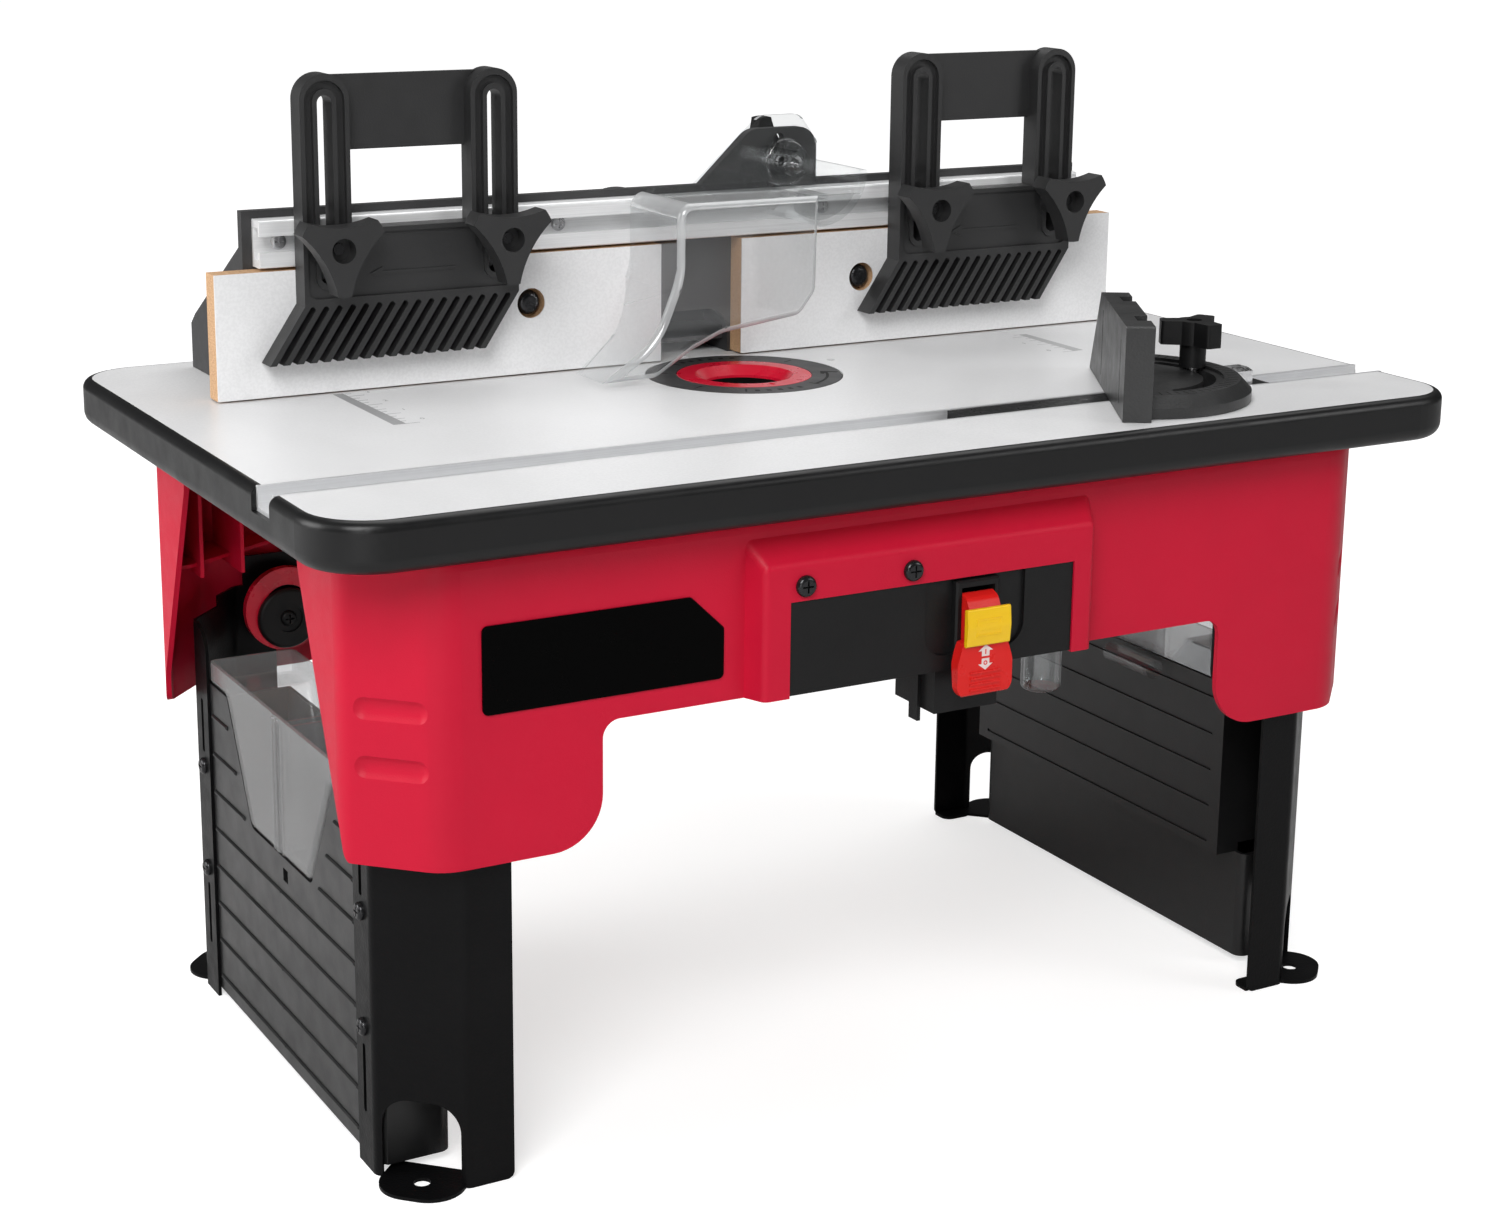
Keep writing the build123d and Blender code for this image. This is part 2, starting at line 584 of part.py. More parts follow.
# ---------------------------------------------------------------- side panels and bins
def make_left_side_panel():
    """Hollow side panel between two legs: ribbed outside, stepped and ribbed inside, open at the top."""
    lower_half = [(-SIDE_OUTER_X, -126), (-SIDE_OUTER_X + 4, -130.5), (-SIDE_LOWER_X, -130.5)]
    lower = lower_half + [(x, -y) for x, y in lower_half[::-1]]
    panel = prism_z(lower, SIDE_BOTTOM, SIDE_STEP, [0, 0, 6, 6, 0, 0])
    panel += block(-SIDE_OUTER_X, -SIDE_UPPER_X, -121.5, 121.5, SIDE_STEP, SIDE_INNER_TOP)
    outer = -SIDE_OUTER_X
    panel += block(outer, outer + SIDE_WALL, -121.5, 121.5, SIDE_INNER_TOP - 1, SIDE_OUTER_TOP)
    wall = SIDE_WALL
    panel -= block(-SIDE_OUTER_X + wall, -SIDE_LOWER_X - wall, -127, 127, SIDE_BOTTOM + wall, SIDE_STEP + 5)
    panel -= block(outer + wall, -SIDE_UPPER_X - wall, -119, 119, SIDE_STEP + wall, SIDE_OUTER_TOP + 1)
    # mouth for the bin
    mouth = [
        (-BIN_HALF_TOP - 2.6, SIDE_OUTER_TOP + 2), (-BIN_HALF_BOTTOM - 0.8, BIN_BOTTOM - 0.3),
        (BIN_HALF_BOTTOM + 0.8, BIN_BOTTOM - 0.3), (BIN_HALF_TOP + 2.6, SIDE_OUTER_TOP + 2),
    ]
    panel -= prism_x(mouth, -300, -SIDE_OUTER_X + wall + 0.5, [0, 7, 7, 0])
    panel -= block(-300, -SIDE_OUTER_X + wall + 0.5, -9.5, -2.5, 108.5, 115.5)
    # horizontal ribs outside, cut back round the mouth, and grooves inside
    for index in range(8):
        z = RIB_FIRST + RIB_PITCH * index
        reach = 0.0 if z < BIN_BOTTOM - 4 else BIN_HALF_BOTTOM + 11 + (z - BIN_BOTTOM) * 0.55
        for y0, y1 in ((-104, -reach), (reach, 104)):
            if y1 - y0 > 8:
                rib = block(-SIDE_OUTER_X - 1.2, -SIDE_OUTER_X + 0.5, y0, y1, z - 1.1, z + 1.1)
                panel += chamfer(rib.edges().group_by(Axis.X)[0], 0.8)
    for index in range(5):
        z = SIDE_STEP + 6 + RIB_PITCH * index
        panel -= block(-SIDE_UPPER_X - 1.0, -SIDE_UPPER_X + 1, -112, 112, z - 0.9, z + 0.9)
    for z in LEG_SCREW_HEIGHTS:
        for y in (-LEG_SCREW_Y, LEG_SCREW_Y):
            panel -= rod_x(2.2, -300, -SIDE_OUTER_X + wall + 0.5, y, z)
    return panel


def bin_section(inset, top):
    """(y, z) outline of a bin: a wide rim box over a tapered body."""
    low = BIN_BOTTOM + inset
    return [
        (-BIN_RIM_HALF + inset, top), (-BIN_RIM_HALF + inset, SIDE_OUTER_TOP + 0.3 + inset),
        (-BIN_HALF_TOP + inset, SIDE_OUTER_TOP + 0.3 + inset), (-BIN_HALF_BOTTOM + inset, low),
        (BIN_HALF_BOTTOM - inset, low), (BIN_HALF_TOP - inset, SIDE_OUTER_TOP + 0.3 + inset),
        (BIN_RIM_HALF - inset, SIDE_OUTER_TOP + 0.3 + inset), (BIN_RIM_HALF - inset, top),
    ]


def make_left_bin():
    """Clear storage bin with a double rib in the middle."""
    outer_x = -LEG_SIDE_X + 0.5
    inner_x = -SIDE_UPPER_X - SIDE_WALL - 0.6
    shell = prism_x(bin_section(0, BIN_TOP), outer_x, inner_x, [0, 2, 5, 8, 8, 5, 2, 0])
    shell = fillet(shell.edges().filter_by(Axis.Z), 5.0)
    shell -= prism_x(bin_section(2.0, BIN_TOP + 1), outer_x + 2, inner_x - 2, [0, 1, 5, 6, 6, 5, 1, 0])
    for y in (-5.0, 3.2):
        shell += block(outer_x + 1, inner_x - 1, y, y + 1.8, BIN_BOTTOM + 1, BIN_TOP - 6)
    # double half-round rib down the outer wall
    for y in (-2.6, 2.6):
        rib = rod_z(2.0, BIN_BOTTOM + 3, BIN_TOP - 3, outer_x + 0.6, y)
        shell += rib + Pos(outer_x + 0.6, y, BIN_TOP - 3) * Sphere(2.0)
    return shell - block(outer_x + 2, inner_x - 2, -3.0, 3.0, BIN_BOTTOM + 2, BIN_TOP + 1)


def make_spare_ring():
    """Second insert with a larger bore, stored on the rear left leg."""
    ring = rod_y(24.0, STORE_FRONT_Y, STORE_FRONT_Y + 5, STORE_X, STORE_Z + 5)
    return ring - rod_y(14.0, STORE_FRONT_Y - 1, STORE_FRONT_Y + 6, STORE_X, STORE_Z + 5)


def make_spare_retainer():
    """Round washer with a stepped spigot and a cross-recess screw into the leg."""
    front = STORE_FRONT_Y
    disc = rod_y(17.5, front - 4, front, STORE_X, STORE_Z)
    disc = fillet(disc.edges().group_by(Axis.Y)[0], 2.0)
    disc -= rod_y(8.0, front - 5, front - 2.6, STORE_X, STORE_Z)
    disc += rod_y(8.8, front - 0.5, LEG_FRONT_Y - SHEET, STORE_X, STORE_Z)
    disc += rod_y(2.0, front, LEG_FRONT_Y + 3, STORE_X, STORE_Z)
    screw = Pos(STORE_X, front - 2.6, STORE_Z) * Rot(90, 0, 0) * pan_screw(4.6, 2.4, 2.0, 1.0)
    return disc + screw


def make_bit_tube():
    """Capped tube clipped to the inner wall of the right side panel."""
    x = SIDE_UPPER_X - 6.0
    tube = rod_y(6.0, -64.0, -22.0, x, 165.0)
    tube -= rod_y(4.8, -58.0, -21.0, x, 165.0)
    return tube


# ---------------------------------------------------------------- fence
def make_fence_base():
    """Black wall and floor flange with gussets, bolt slots, a dust mouth and the guard's bracket."""
    wall_front = FENCE_FACE_Y + FACE_THICKNESS
    wall_back = wall_front + FENCE_WALL
    base = block(-FENCE_HALF, FENCE_HALF, wall_front, wall_back, FENCE_FLOOR, FENCE_TOP)
    base += block(-FENCE_HALF, FENCE_HALF, wall_back - 1, FENCE_BACK_Y, FENCE_FLOOR, FLANGE_TOP)
    gusset = [
        (wall_back - 1, FENCE_FLOOR), (FENCE_BACK_Y, FENCE_FLOOR), (FENCE_BACK_Y, 371),
        (FENCE_BACK_Y - 7, 377), (wall_back - 1, 425),
    ]
    for x in (-FENCE_HALF, FENCE_HALF - 4, -64, 60):
        base += prism_x(gusset, x, x + 4)
    # bracket for the guard, with its upright slot
    bracket = [(2, FENCE_TOP - 4), (82, FENCE_TOP - 4), (82, 474), (38, 474)]
    base += prism_y(bracket, wall_front, wall_back, [0, 0, 12, 14])
    base -= slot_y(GUARD_KNOB_X, GUARD_KNOB_Z - 3.3, GUARD_KNOB_Z + 16, 6.6, wall_front - 1, wall_back + 1)
    # dust mouth between the faces
    base -= prism_y(rectangle(-24, 24, FENCE_FLOOR - 1, 372), wall_front - 1, wall_back + 1, [0, 0, 14, 14])
    base -= block(-24, 24, wall_front - 1, 128, FENCE_FLOOR - 1, FLANGE_TOP + 1)
    # side-to-side slots for the face bolts
    for bolt in FACE_BOLT_X:
        start, end = bolt - FACE_IN_TRAVEL - 3.3, bolt + FACE_OUT_TRAVEL + 3.3
        slot = rectangle(start, end, FACE_BOLT_Z - 3.3, FACE_BOLT_Z + 3.3)
        cut = prism_y(slot, wall_front - 1, wall_back + 1, 3.29)
        base -= cut + flip_x(cut)
    # fore-and-aft slots for the clamp bolts
    slot = rectangle(CLAMP_X - 3.3, CLAMP_X + 3.3, CLAMP_Y - FENCE_TRAVEL - 3.3, CLAMP_Y + FENCE_TRAVEL + 3.3)
    cut = prism_z(slot, FENCE_FLOOR - 1, FLANGE_TOP + 1, 3.29)
    base -= cut + flip_x(cut)
    for x in RAIL_SCREW_X:
        base -= rod_y(1.8, wall_front - 1, wall_front + 4.5, x, RAIL_Z)
    return base


RAIL_SCREW_X = (-247.0, -85.0, 85.0, 247.0)


def make_fence_track():
    """Aluminium T-track on the front of the fence."""
    back = FENCE_FACE_Y + FACE_THICKNESS
    front = RAIL_FRONT_Y
    track = block(-RAIL_HALF, RAIL_HALF, front, back, RAIL_BOTTOM, RAIL_TOP)
    track -= block(-300, 300, front - 1, front + 3, RAIL_Z - RAIL_MOUTH / 2, RAIL_Z + RAIL_MOUTH / 2)
    track -= block(-300, 300, front + 2.5, back - 2, RAIL_Z - 8.5, RAIL_Z + 8.5)
    long_edges = track.edges().filter_by(Axis.X).group_by(Axis.Y)[0]
    track = fillet([long_edges.sort_by(Axis.Z)[0], long_edges.sort_by(Axis.Z)[-1]], 1.2)
    for x in RAIL_SCREW_X:
        track -= rod_y(1.9, back - 3, back + 1, x, RAIL_Z)
    return track


def make_fence_screws():
    screw = Rot(90, 0, 0) * pan_screw(4.2, 2.2, 1.75, 6.2)
    return [Pos(x, FENCE_FACE_Y + FACE_THICKNESS - 2, RAIL_Z) * screw for x in RAIL_SCREW_X]


def make_left_face():
    """Laminated MDF face, counterbored for its two bolts."""
    face = block(-FACE_OUTER_X, -FACE_INNER_X, FENCE_FACE_Y, FENCE_FACE_Y + FACE_THICKNESS, 347.0, FACE_TOP)
    for bolt in FACE_BOLT_X:
        face -= rod_y(8.3, FENCE_FACE_Y - 1, FENCE_FACE_Y + 7, -bolt, FACE_BOLT_Z)
        face -= rod_y(3.2, FENCE_FACE_Y, FENCE_FACE_Y + 20, -bolt, FACE_BOLT_Z)
    return face


def make_left_face_bolts():
    """Round-headed bolts, recessed in the face, long enough for the rear knobs."""
    bolts = []
    for bolt in FACE_BOLT_X:
        head = rod_y(6.9, FENCE_FACE_Y + 1.2, FENCE_FACE_Y + 7, -bolt, FACE_BOLT_Z)
        head = fillet(head.edges().group_by(Axis.Y)[0], 3.6)
        bolts.append(head + rod_y(BOLT_RADIUS, FENCE_FACE_Y + 6, 104.0, -bolt, FACE_BOLT_Z))
    return bolts


def make_face_knob(x):
    knob = lobe_knob(16.0, 8.0, 7.5, 5.5, 12.5)
    return Pos(x, FENCE_FACE_Y + FACE_THICKNESS + FENCE_WALL + 0.3, FACE_BOLT_Z) * Rot(-90, 0, 0) * knob


def make_clamp_bolts():
    """Carriage bolts up through the top, one at each end of the fence."""
    bolts = []
    for x in (-CLAMP_X, CLAMP_X):
        bolt = rod_z(BOLT_RADIUS, CORE_BOTTOM - 1, 370.0, x, CLAMP_Y)
        bolts.append(bolt + rod_z(7.0, CORE_BOTTOM - 3.5, CORE_BOTTOM, x, CLAMP_Y))
    return bolts


def make_clamp_knob(x):
    return Pos(x, CLAMP_Y, FLANGE_TOP + 0.4) * lobe_knob(20.0, 11.0, 8.5, 9.0, 17.6)


def make_dust_port():
    """Hollow hood on the back of the wall, with a round hose spigot that stands on a collar."""
    wall_back = FENCE_FACE_Y + FACE_THICKNESS + FENCE_WALL
    side = [(wall_back, FLANGE_TOP), (140, FLANGE_TOP), (146, 366), (146, 434), (wall_back, 434)]
    hood = prism_x(side, -40, 40, [0, 0, 8, 8, 0])
    low = FLANGE_TOP + 2.5
    inside = [(wall_back - 1, low), (139, low), (143.5, 367), (143.5, 431.5), (wall_back - 1, 431.5)]
    hood += rod_y(PORT_RADIUS + 2.2, 144, 149, 0, PORT_Z)
    hood += rod_y(PORT_RADIUS, 149, 185, 0, PORT_Z)
    hood -= prism_x(inside, -37.5, 37.5, [0, 0, 6, 6, 0])
    hood -= rod_y(PORT_RADIUS - 2.4, 130, 186, 0, PORT_Z)
    return hood


# ---------------------------------------------------------------- guard
def make_guard_shield():
    """Clear guard: shelf, drop front, flared left side, scooped right end and clamp upright."""
    t = GUARD_THICKNESS
    front = GUARD_FRONT_Y
    shelf_z = GUARD_SHELF_Z
    # hood: shelf, front and flared left side, folded with round corners
    flare = [(GUARD_LEFT, shelf_z), (GUARD_LEFT, 404.0), (-60.0, 370.0), (-91.0, GUARD_BOTTOM)]
    lower = [(-59.0, GUARD_BOTTOM + 0.4), (-37.0, 363.5), (-18.0, 371.5), (31.0, 378.0)]
    right = [(GUARD_RIGHT - 1, 391.0), (GUARD_RIGHT, shelf_z)]
    hood = prism_y(flare + lower + right, front, front + 59, [9, 40, 45, 0, 12, 20, 20, 9, 9, 0])
    folds = [
        edge for edge in hood.edges()
        if abs(edge.center().Y - front) < 0.1 and (edge.center().Z > shelf_z - 6 or edge.center().X < -44.5)
        and edge.center().Z > GUARD_BOTTOM + 1 and edge.center().X < GUARD_RIGHT - 1
    ]
    hood = fillet(folds, 4.0)
    inside = [
        (GUARD_LEFT + t, shelf_z - t), (GUARD_LEFT + t, 404.5), (-57.5, 371.5), (-88.0, GUARD_BOTTOM),
        (-88.0, 300.0), (GUARD_RIGHT + 20, 300.0), (GUARD_RIGHT + 20, shelf_z - t),
    ]
    hood -= prism_y(inside, front + t, front + 60, [6, 37, 42, 0, 0, 0, 0])
    trim = [(46, 340), (74, 408), (140, 408), (140, 340)]
    guard = hood - prism_x(trim, -120, -30, [0, 40, 0, 0])
    shelf = rectangle(GUARD_LEFT + 9, GUARD_RIGHT + 8, front + 6, GUARD_BACK_Y)
    guard += prism_z(shelf, shelf_z - t, shelf_z, [0, 0, 0, 14])
    # scoop at the right end, a quarter round sheet with a front wall
    scoop_z = shelf_z + 13
    scoop = rod_y(30.0, front, front + 58, GUARD_RIGHT, scoop_z)
    hollow = rod_y(30.0 - t, front + t, front + 59, GUARD_RIGHT, scoop_z)
    quarter = block(GUARD_RIGHT - 0.5, GUARD_RIGHT + 31, front - 1, front + 59, scoop_z - 31, scoop_z)
    guard += (scoop - hollow) & quarter
    guard -= block(GUARD_RIGHT - 1, GUARD_RIGHT + 26, front - 1, front + t + 1, shelf_z, scoop_z + 1)
    # upright against the bracket
    upright = [(-5, shelf_z - t), (80, shelf_z - t), (80, 466), (68, 482), (42, 482)]
    guard += prism_y(upright, GUARD_BACK_Y - t, GUARD_BACK_Y, [0, 0, 6, 8, 10])
    guard -= rod_y(BOLT_RADIUS + 0.05, GUARD_BACK_Y - t - 1, GUARD_BACK_Y + 1, GUARD_KNOB_X, GUARD_KNOB_Z)
    # relief round the clamp knob's disc
    return guard - rod_y(14.3, front + 58, GUARD_BACK_Y - t, GUARD_KNOB_X, GUARD_KNOB_Z)


def make_guard_knob():
    """Clear round clamp knob with a stepped hub, on the bolt that it turns."""
    x, z = GUARD_KNOB_X, GUARD_KNOB_Z
    front = GUARD_BACK_Y - GUARD_THICKNESS - 0.2
    disc = rod_y(13.8, front - 6, front, x, z)
    disc = fillet(disc.edges().group_by(Axis.Y)[0], 2.0)
    disc -= rod_y(11.0, front - 7, front - 3, x, z)
    for angle in range(0, 360, 45):
        disc += Pos(x, 0, z) * Rot(0, angle, 0) * block(-0.7, 0.7, front - 5.4, front - 2.5, 5, 12)
    hub = rod_y(7.4, front - 17, front - 2, x, z)
    tip = Pos(x, front - 17, z) * Rot(90, 0, 0) * Cone(5.2, 2.6, 5, align=LOW)
    return disc + hub + tip + rod_y(BOLT_RADIUS, front - 3, 112.0, x, z)


def make_guard_wing():
    """Black three-lobed nut behind the bracket, locked on the same bolt."""
    knob = lobe_knob(KNOB_RADIUS, 10.0, 9.0, 6.0, 13.0)
    back = FENCE_FACE_Y + FACE_THICKNESS + FENCE_WALL + 0.3
    return Pos(GUARD_KNOB_X, back, GUARD_KNOB_Z) * Rot(-90, 0, 0) * Rot(0, 0, 145) * knob


# ---------------------------------------------------------------- featherboards
def make_featherboard(centre):
    """Two slotted uprights joined by a web at the top and a body below, with slanted spring fingers."""
    front, back = BOARD_FRONT_Y, BOARD_BACK_Y
    low, high = BOARD_SLOT
    board = block(-BOARD_HALF, BOARD_HALF, front, back, BOARD_BODY_BOTTOM, BOARD_BODY_TOP)
    web = block(-BOARD_HALF + 14, BOARD_HALF - 14, back - 4, back, 475.5, BOARD_TOP - 1.5)
    # sunk field of the body, and sunk tracks between each upright's rim and the rim of its slot
    field = rectangle(-BOARD_HALF + 2.5, BOARD_HALF - 2.5, BOARD_BODY_BOTTOM + 3.5, BOARD_BODY_TOP - 2.5)
    sunk = prism_y(field, front - 1, front + 1.8, 5.0)
    rims = []
    for side in (-1, 1):
        x = side * BOARD_BOLT_HALF
        upright = rectangle(x - UPRIGHT_HALF, x + UPRIGHT_HALF, BOARD_BODY_BOTTOM, BOARD_TOP)
        board += prism_y(upright, front, back, [0, 0, UPRIGHT_HALF - 0.01, UPRIGHT_HALF - 0.01])
        sunk += slot_y(x, BOARD_BODY_TOP - 20, high + 7.5, 22.0, front - 1, front + 3.0)
        rims.append(slot_y(x, low - 3, high + 3.2, 13.0, front - 2, back))
    board -= sunk - rims[0] - rims[1]
    board += web
    # fingers lean to the left, stay apart at their tips and have round roots
    pitch = (2 * BOARD_HALF - FINGER_WIDTH) / (FINGERS - 1)
    root, tip = BOARD_BODY_BOTTOM, BOARD_TIP
    lean = FINGER_LEAN / (root - tip)
    comb = [
        (-BOARD_HALF, root + 1), (-BOARD_HALF, root), (-BOARD_HALF - FINGER_LEAN, tip),
        (BOARD_HALF - FINGER_LEAN, tip), (BOARD_HALF, root), (BOARD_HALF, root + 1),
    ]
    board += prism_y(comb, front, back)
    for index in range(FINGERS - 1):
        x0 = -BOARD_HALF + pitch * index + FINGER_WIDTH
        x1 = -BOARD_HALF + pitch * (index + 1)
        gap = [(x0, root - 2), (x0 - FINGER_LEAN, tip - 2), (x1 - FINGER_LEAN, tip - 2), (x1, root - 2)]
        gap = [(x - 2 * lean, z) for x, z in gap]
        board -= prism_y(gap, front - 1, back + 1)
        board -= rod_y((x1 - x0) * 0.42, front - 1, back + 1, (x0 + x1) / 2 - 2 * lean, root - 2)
    for side in (-1, 1):
        board -= slot_y(side * BOARD_BOLT_HALF, low, high, 8.0, front - 1, back + 1)
    return Pos(centre, 0, 0) * board


def make_track_bolts(centre):
    """Square-headed bolts that ride in the T-track."""
    bolts = []
    for side in (-1, 1):
        x = centre + side * BOARD_BOLT_HALF
        head = block(x - 7, x + 7, RAIL_FRONT_Y + 2.8, RAIL_FRONT_Y + 7.0, RAIL_Z - 7, RAIL_Z + 7)
        bolts.append(head + rod_y(BOLT_RADIUS, 44.0, RAIL_FRONT_Y + 3, x, RAIL_Z))
    return bolts


def make_feather_knob(x, turn):
    knob = lobe_knob(KNOB_RADIUS, 13.0, 9.5, 10.0, 15.7)
    return Pos(x, BOARD_FRONT_Y - 0.3, RAIL_Z) * Rot(90, 0, 0) * Rot(0, 0, turn) * knob


# ---------------------------------------------------------------- miter gauge
def make_miter_bar():
    half = SLOT_WIDTH / 2 - 0.1
    bottom = TOP_HEIGHT - SLOT_DEPTH + 0.1
    top = TOP_HEIGHT - 0.4
    bar = block(BAR_LEFT, BAR_RIGHT, SLOT_Y - half, SLOT_Y + half, bottom, top)
    bar -= rod_z(2.9, bottom - 1, top + 1, PIVOT_X, SLOT_Y)
    return bar - rod_z(2.9, bottom - 1, top + 1, PIVOT_X + STUD_RADIUS_OUT, SLOT_Y)


def place_on_pivot(part, angle):
    return Pos(PIVOT_X, SLOT_Y, 0) * Rot(0, 0, angle) * part


def make_miter_head():
    """Fence block with one slanted end, on a half-round protractor with a curved slot."""
    floor = TOP_HEIGHT + 0.3
    half = HEAD_HALF
    face_x = -12.0
    side = [(-half, floor), (half, floor), (34, HEAD_TOP), (-half, HEAD_TOP)]
    head = prism_x(side, face_x, face_x + HEAD_THICKNESS, [0, 1, 1, 1])
    for y, top in ((-55.0, 386.0), (22.0, 388.0)):
        head -= block(face_x - 1, face_x + 2, y - 0.8, y + 0.8, floor + 6, top)
    for y in (-48.0, 12.0):
        head -= block(face_x + 8, face_x + HEAD_THICKNESS + 1, y - 7, y + 7, HEAD_TOP - 4, HEAD_TOP + 1)
    disc = rod_z(PROTRACTOR_RADIUS, floor, PROTRACTOR_TOP, 0, 0)
    disc = chamfer(disc.edges().group_by(Axis.Z)[-1], 6.0)
    disc -= block(-80, face_x + HEAD_THICKNESS - 2, -80, 80, 300, 400)
    # raised rim round a sunk field
    disc -= rod_z(51.0, PROTRACTOR_TOP - 1.6, PROTRACTOR_TOP + 1, 0, 0) & block(5, 80, -80, 80, 300, 400)
    slot = Pos(0, 0, 300) * Cylinder(STUD_RADIUS_OUT + 3.4, 100, align=LOW)
    slot -= Pos(0, 0, 299) * Cylinder(STUD_RADIUS_OUT - 3.4, 102, align=LOW)
    wedge = prism_z([(0, 0), (50, -86.6), (120, -86.6), (120, 86.6), (50, 86.6)], 300, 400)
    disc -= slot & wedge
    for side_y in (-1, 1):
        end_x = STUD_RADIUS_OUT * 0.5
        end_y = STUD_RADIUS_OUT * 0.8660 * side_y
        disc -= rod_z(3.4, 300, 400, end_x, end_y)
    head += disc
    head -= rod_z(BORE_RADIUS, 300, PIVOT_TOP + 0.5, 0, 0)
    return place_on_pivot(head, HEAD_ANGLE)


def make_miter_fittings():
    """Pivot screw, clamp stud and angle pointer, all fixed to the bar."""
    bottom = TOP_HEIGHT - SLOT_DEPTH + 1
    bar_top = TOP_HEIGHT - 0.4
    pivot = rod_z(BOLT_RADIUS - 0.1, bottom, bar_top, PIVOT_X, SLOT_Y)
    pivot += rod_z(BOLT_RADIUS, bar_top, PIVOT_TOP, PIVOT_X, SLOT_Y)
    stud_x = PIVOT_X + STUD_RADIUS_OUT
    stud = rod_z(BOLT_RADIUS - 0.1, bottom, bar_top, stud_x, SLOT_Y)
    stud += rod_z(BOLT_RADIUS, bar_top, 372.0, stud_x, SLOT_Y)
    x0 = PIVOT_X + PROTRACTOR_RADIUS + 1.5
    pointer = block(x0, x0 + 14, SLOT_Y - 6, SLOT_Y + 6, bar_top, 355.0)
    pointer = chamfer(pointer.edges().group_by(Axis.Z)[-1], 2.0)
    return [pivot, stud, pointer]


def make_miter_knob():
    """Three-armed knob with blunt arms on a round post."""
    knob = Cylinder(7.2, 14, align=LOW)
    arms = Pos(0, 0, 12.5) * Cylinder(9.5, 13, align=LOW)
    for angle in (30, 150, 270):
        arm = prism_z([(0, -6.5), (18.5, -5), (18.5, 5), (0, 6.5)], 12.5, 25.5, [0, 2, 2, 0])
        arms += Rot(0, 0, angle) * arm
    knob += arms
    knob -= Pos(0, 0, 20.5) * Cylinder(4.2, 10, align=LOW)
    knob -= Pos(0, 0, -1) * Cylinder(BORE_RADIUS, 16.5, align=LOW)
    return Pos(PIVOT_X + STUD_RADIUS_OUT, SLOT_Y, PROTRACTOR_TOP + 0.2) * knob


# ---------------------------------------------------------------- nodes
def build_nodes():
    nodes = {
        "tabletop_core": make_tabletop_core(),
        "tabletop_laminate": make_tabletop_laminate(),
        "edge_band": make_edge_band(),
        "miter_track": make_miter_track(),
        "router_plate": make_router_plate(),
        "insert_ring": make_insert_ring(),
        "router_bracket": make_router_bracket(),
        "shroud_front": make_shroud_front(),
        "shroud_rear": make_shroud_rear(),
        "nameplate": make_nameplate(),
        "shroud_screws": make_shroud_screws(),
        "switch_panel": make_switch_panel(),
        "switch_housing": make_switch_housing(),
        "switch_paddle": make_switch_paddle(),
        "safety_key": make_safety_key(),
        "bit_cup": make_bit_cup(),
        "leg_screws": make_leg_screws(),
        "top_screws": make_top_screws(),
        "spare_ring": make_spare_ring(),
        "spare_retainer": make_spare_retainer(),
        "bit_tube": make_bit_tube(),
        "fence_base": make_fence_base(),
        "fence_track": make_fence_track(),
        "fence_screws": make_fence_screws(),
        "dust_port": make_dust_port(),
        "fence_clamp_bolts": make_clamp_bolts(),
        "guard_shield": make_guard_shield(),
        "guard_knob": make_guard_knob(),
        "guard_wing": make_guard_wing(),
        "miter_bar": make_miter_bar(),
        "miter_head": make_miter_head(),
        "miter_fittings": make_miter_fittings(),
        "miter_knob": make_miter_knob(),
    }
    leg = make_front_left_leg()
    nodes["leg_front_left"] = leg
    nodes["leg_front_right"] = flip_x(leg)
    nodes["leg_rear_left"] = flip_y(leg)
    nodes["leg_rear_right"] = flip_x(flip_y(leg))
    side_panel = make_left_side_panel()
    nodes["side_panel_left"] = side_panel
    nodes["side_panel_right"] = flip_x(side_panel)
    storage_bin = make_left_bin()
    nodes["bin_left"] = storage_bin
    nodes["bin_right"] = flip_x(storage_bin)
    face = make_left_face()
    nodes["fence_face_left"] = face
    nodes["fence_face_right"] = flip_x(face)
    bolts = make_left_face_bolts()
    nodes["face_bolts_left"] = bolts
    nodes["face_bolts_right"] = [flip_x(bolt) for bolt in bolts]
    for side, sign in (("left", -1), ("right", 1)):
        nodes[f"clamp_knob_{side}"] = make_clamp_knob(sign * CLAMP_X)
        nodes[f"face_knob_{side}_inner"] = make_face_knob(sign * FACE_BOLT_X[0])
        nodes[f"face_knob_{side}_outer"] = make_face_knob(sign * FACE_BOLT_X[1])
        centre = BOARD_CENTRES[side]
        nodes[f"featherboard_{side}"] = make_featherboard(centre)
        nodes[f"track_bolts_{side}"] = make_track_bolts(centre)
        nodes[f"feather_knob_{side}_a"] = make_feather_knob(centre - BOARD_BOLT_HALF, 30)
        nodes[f"feather_knob_{side}_b"] = make_feather_knob(centre + BOARD_BOLT_HALF, 30)
    return nodes


os.makedirs("parts", exist_ok=True)
for node_name, shape in build_nodes().items():
    solids = shape if isinstance(shape, list) else [shape]
    solids = [solid for entry in solids for solid in entry.solids()]
    export_step(Compound(children=solids) if len(solids) > 1 else solids[0], f"parts/{node_name}.step")
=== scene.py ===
import math

import bpy
from mathutils import Matrix, Vector


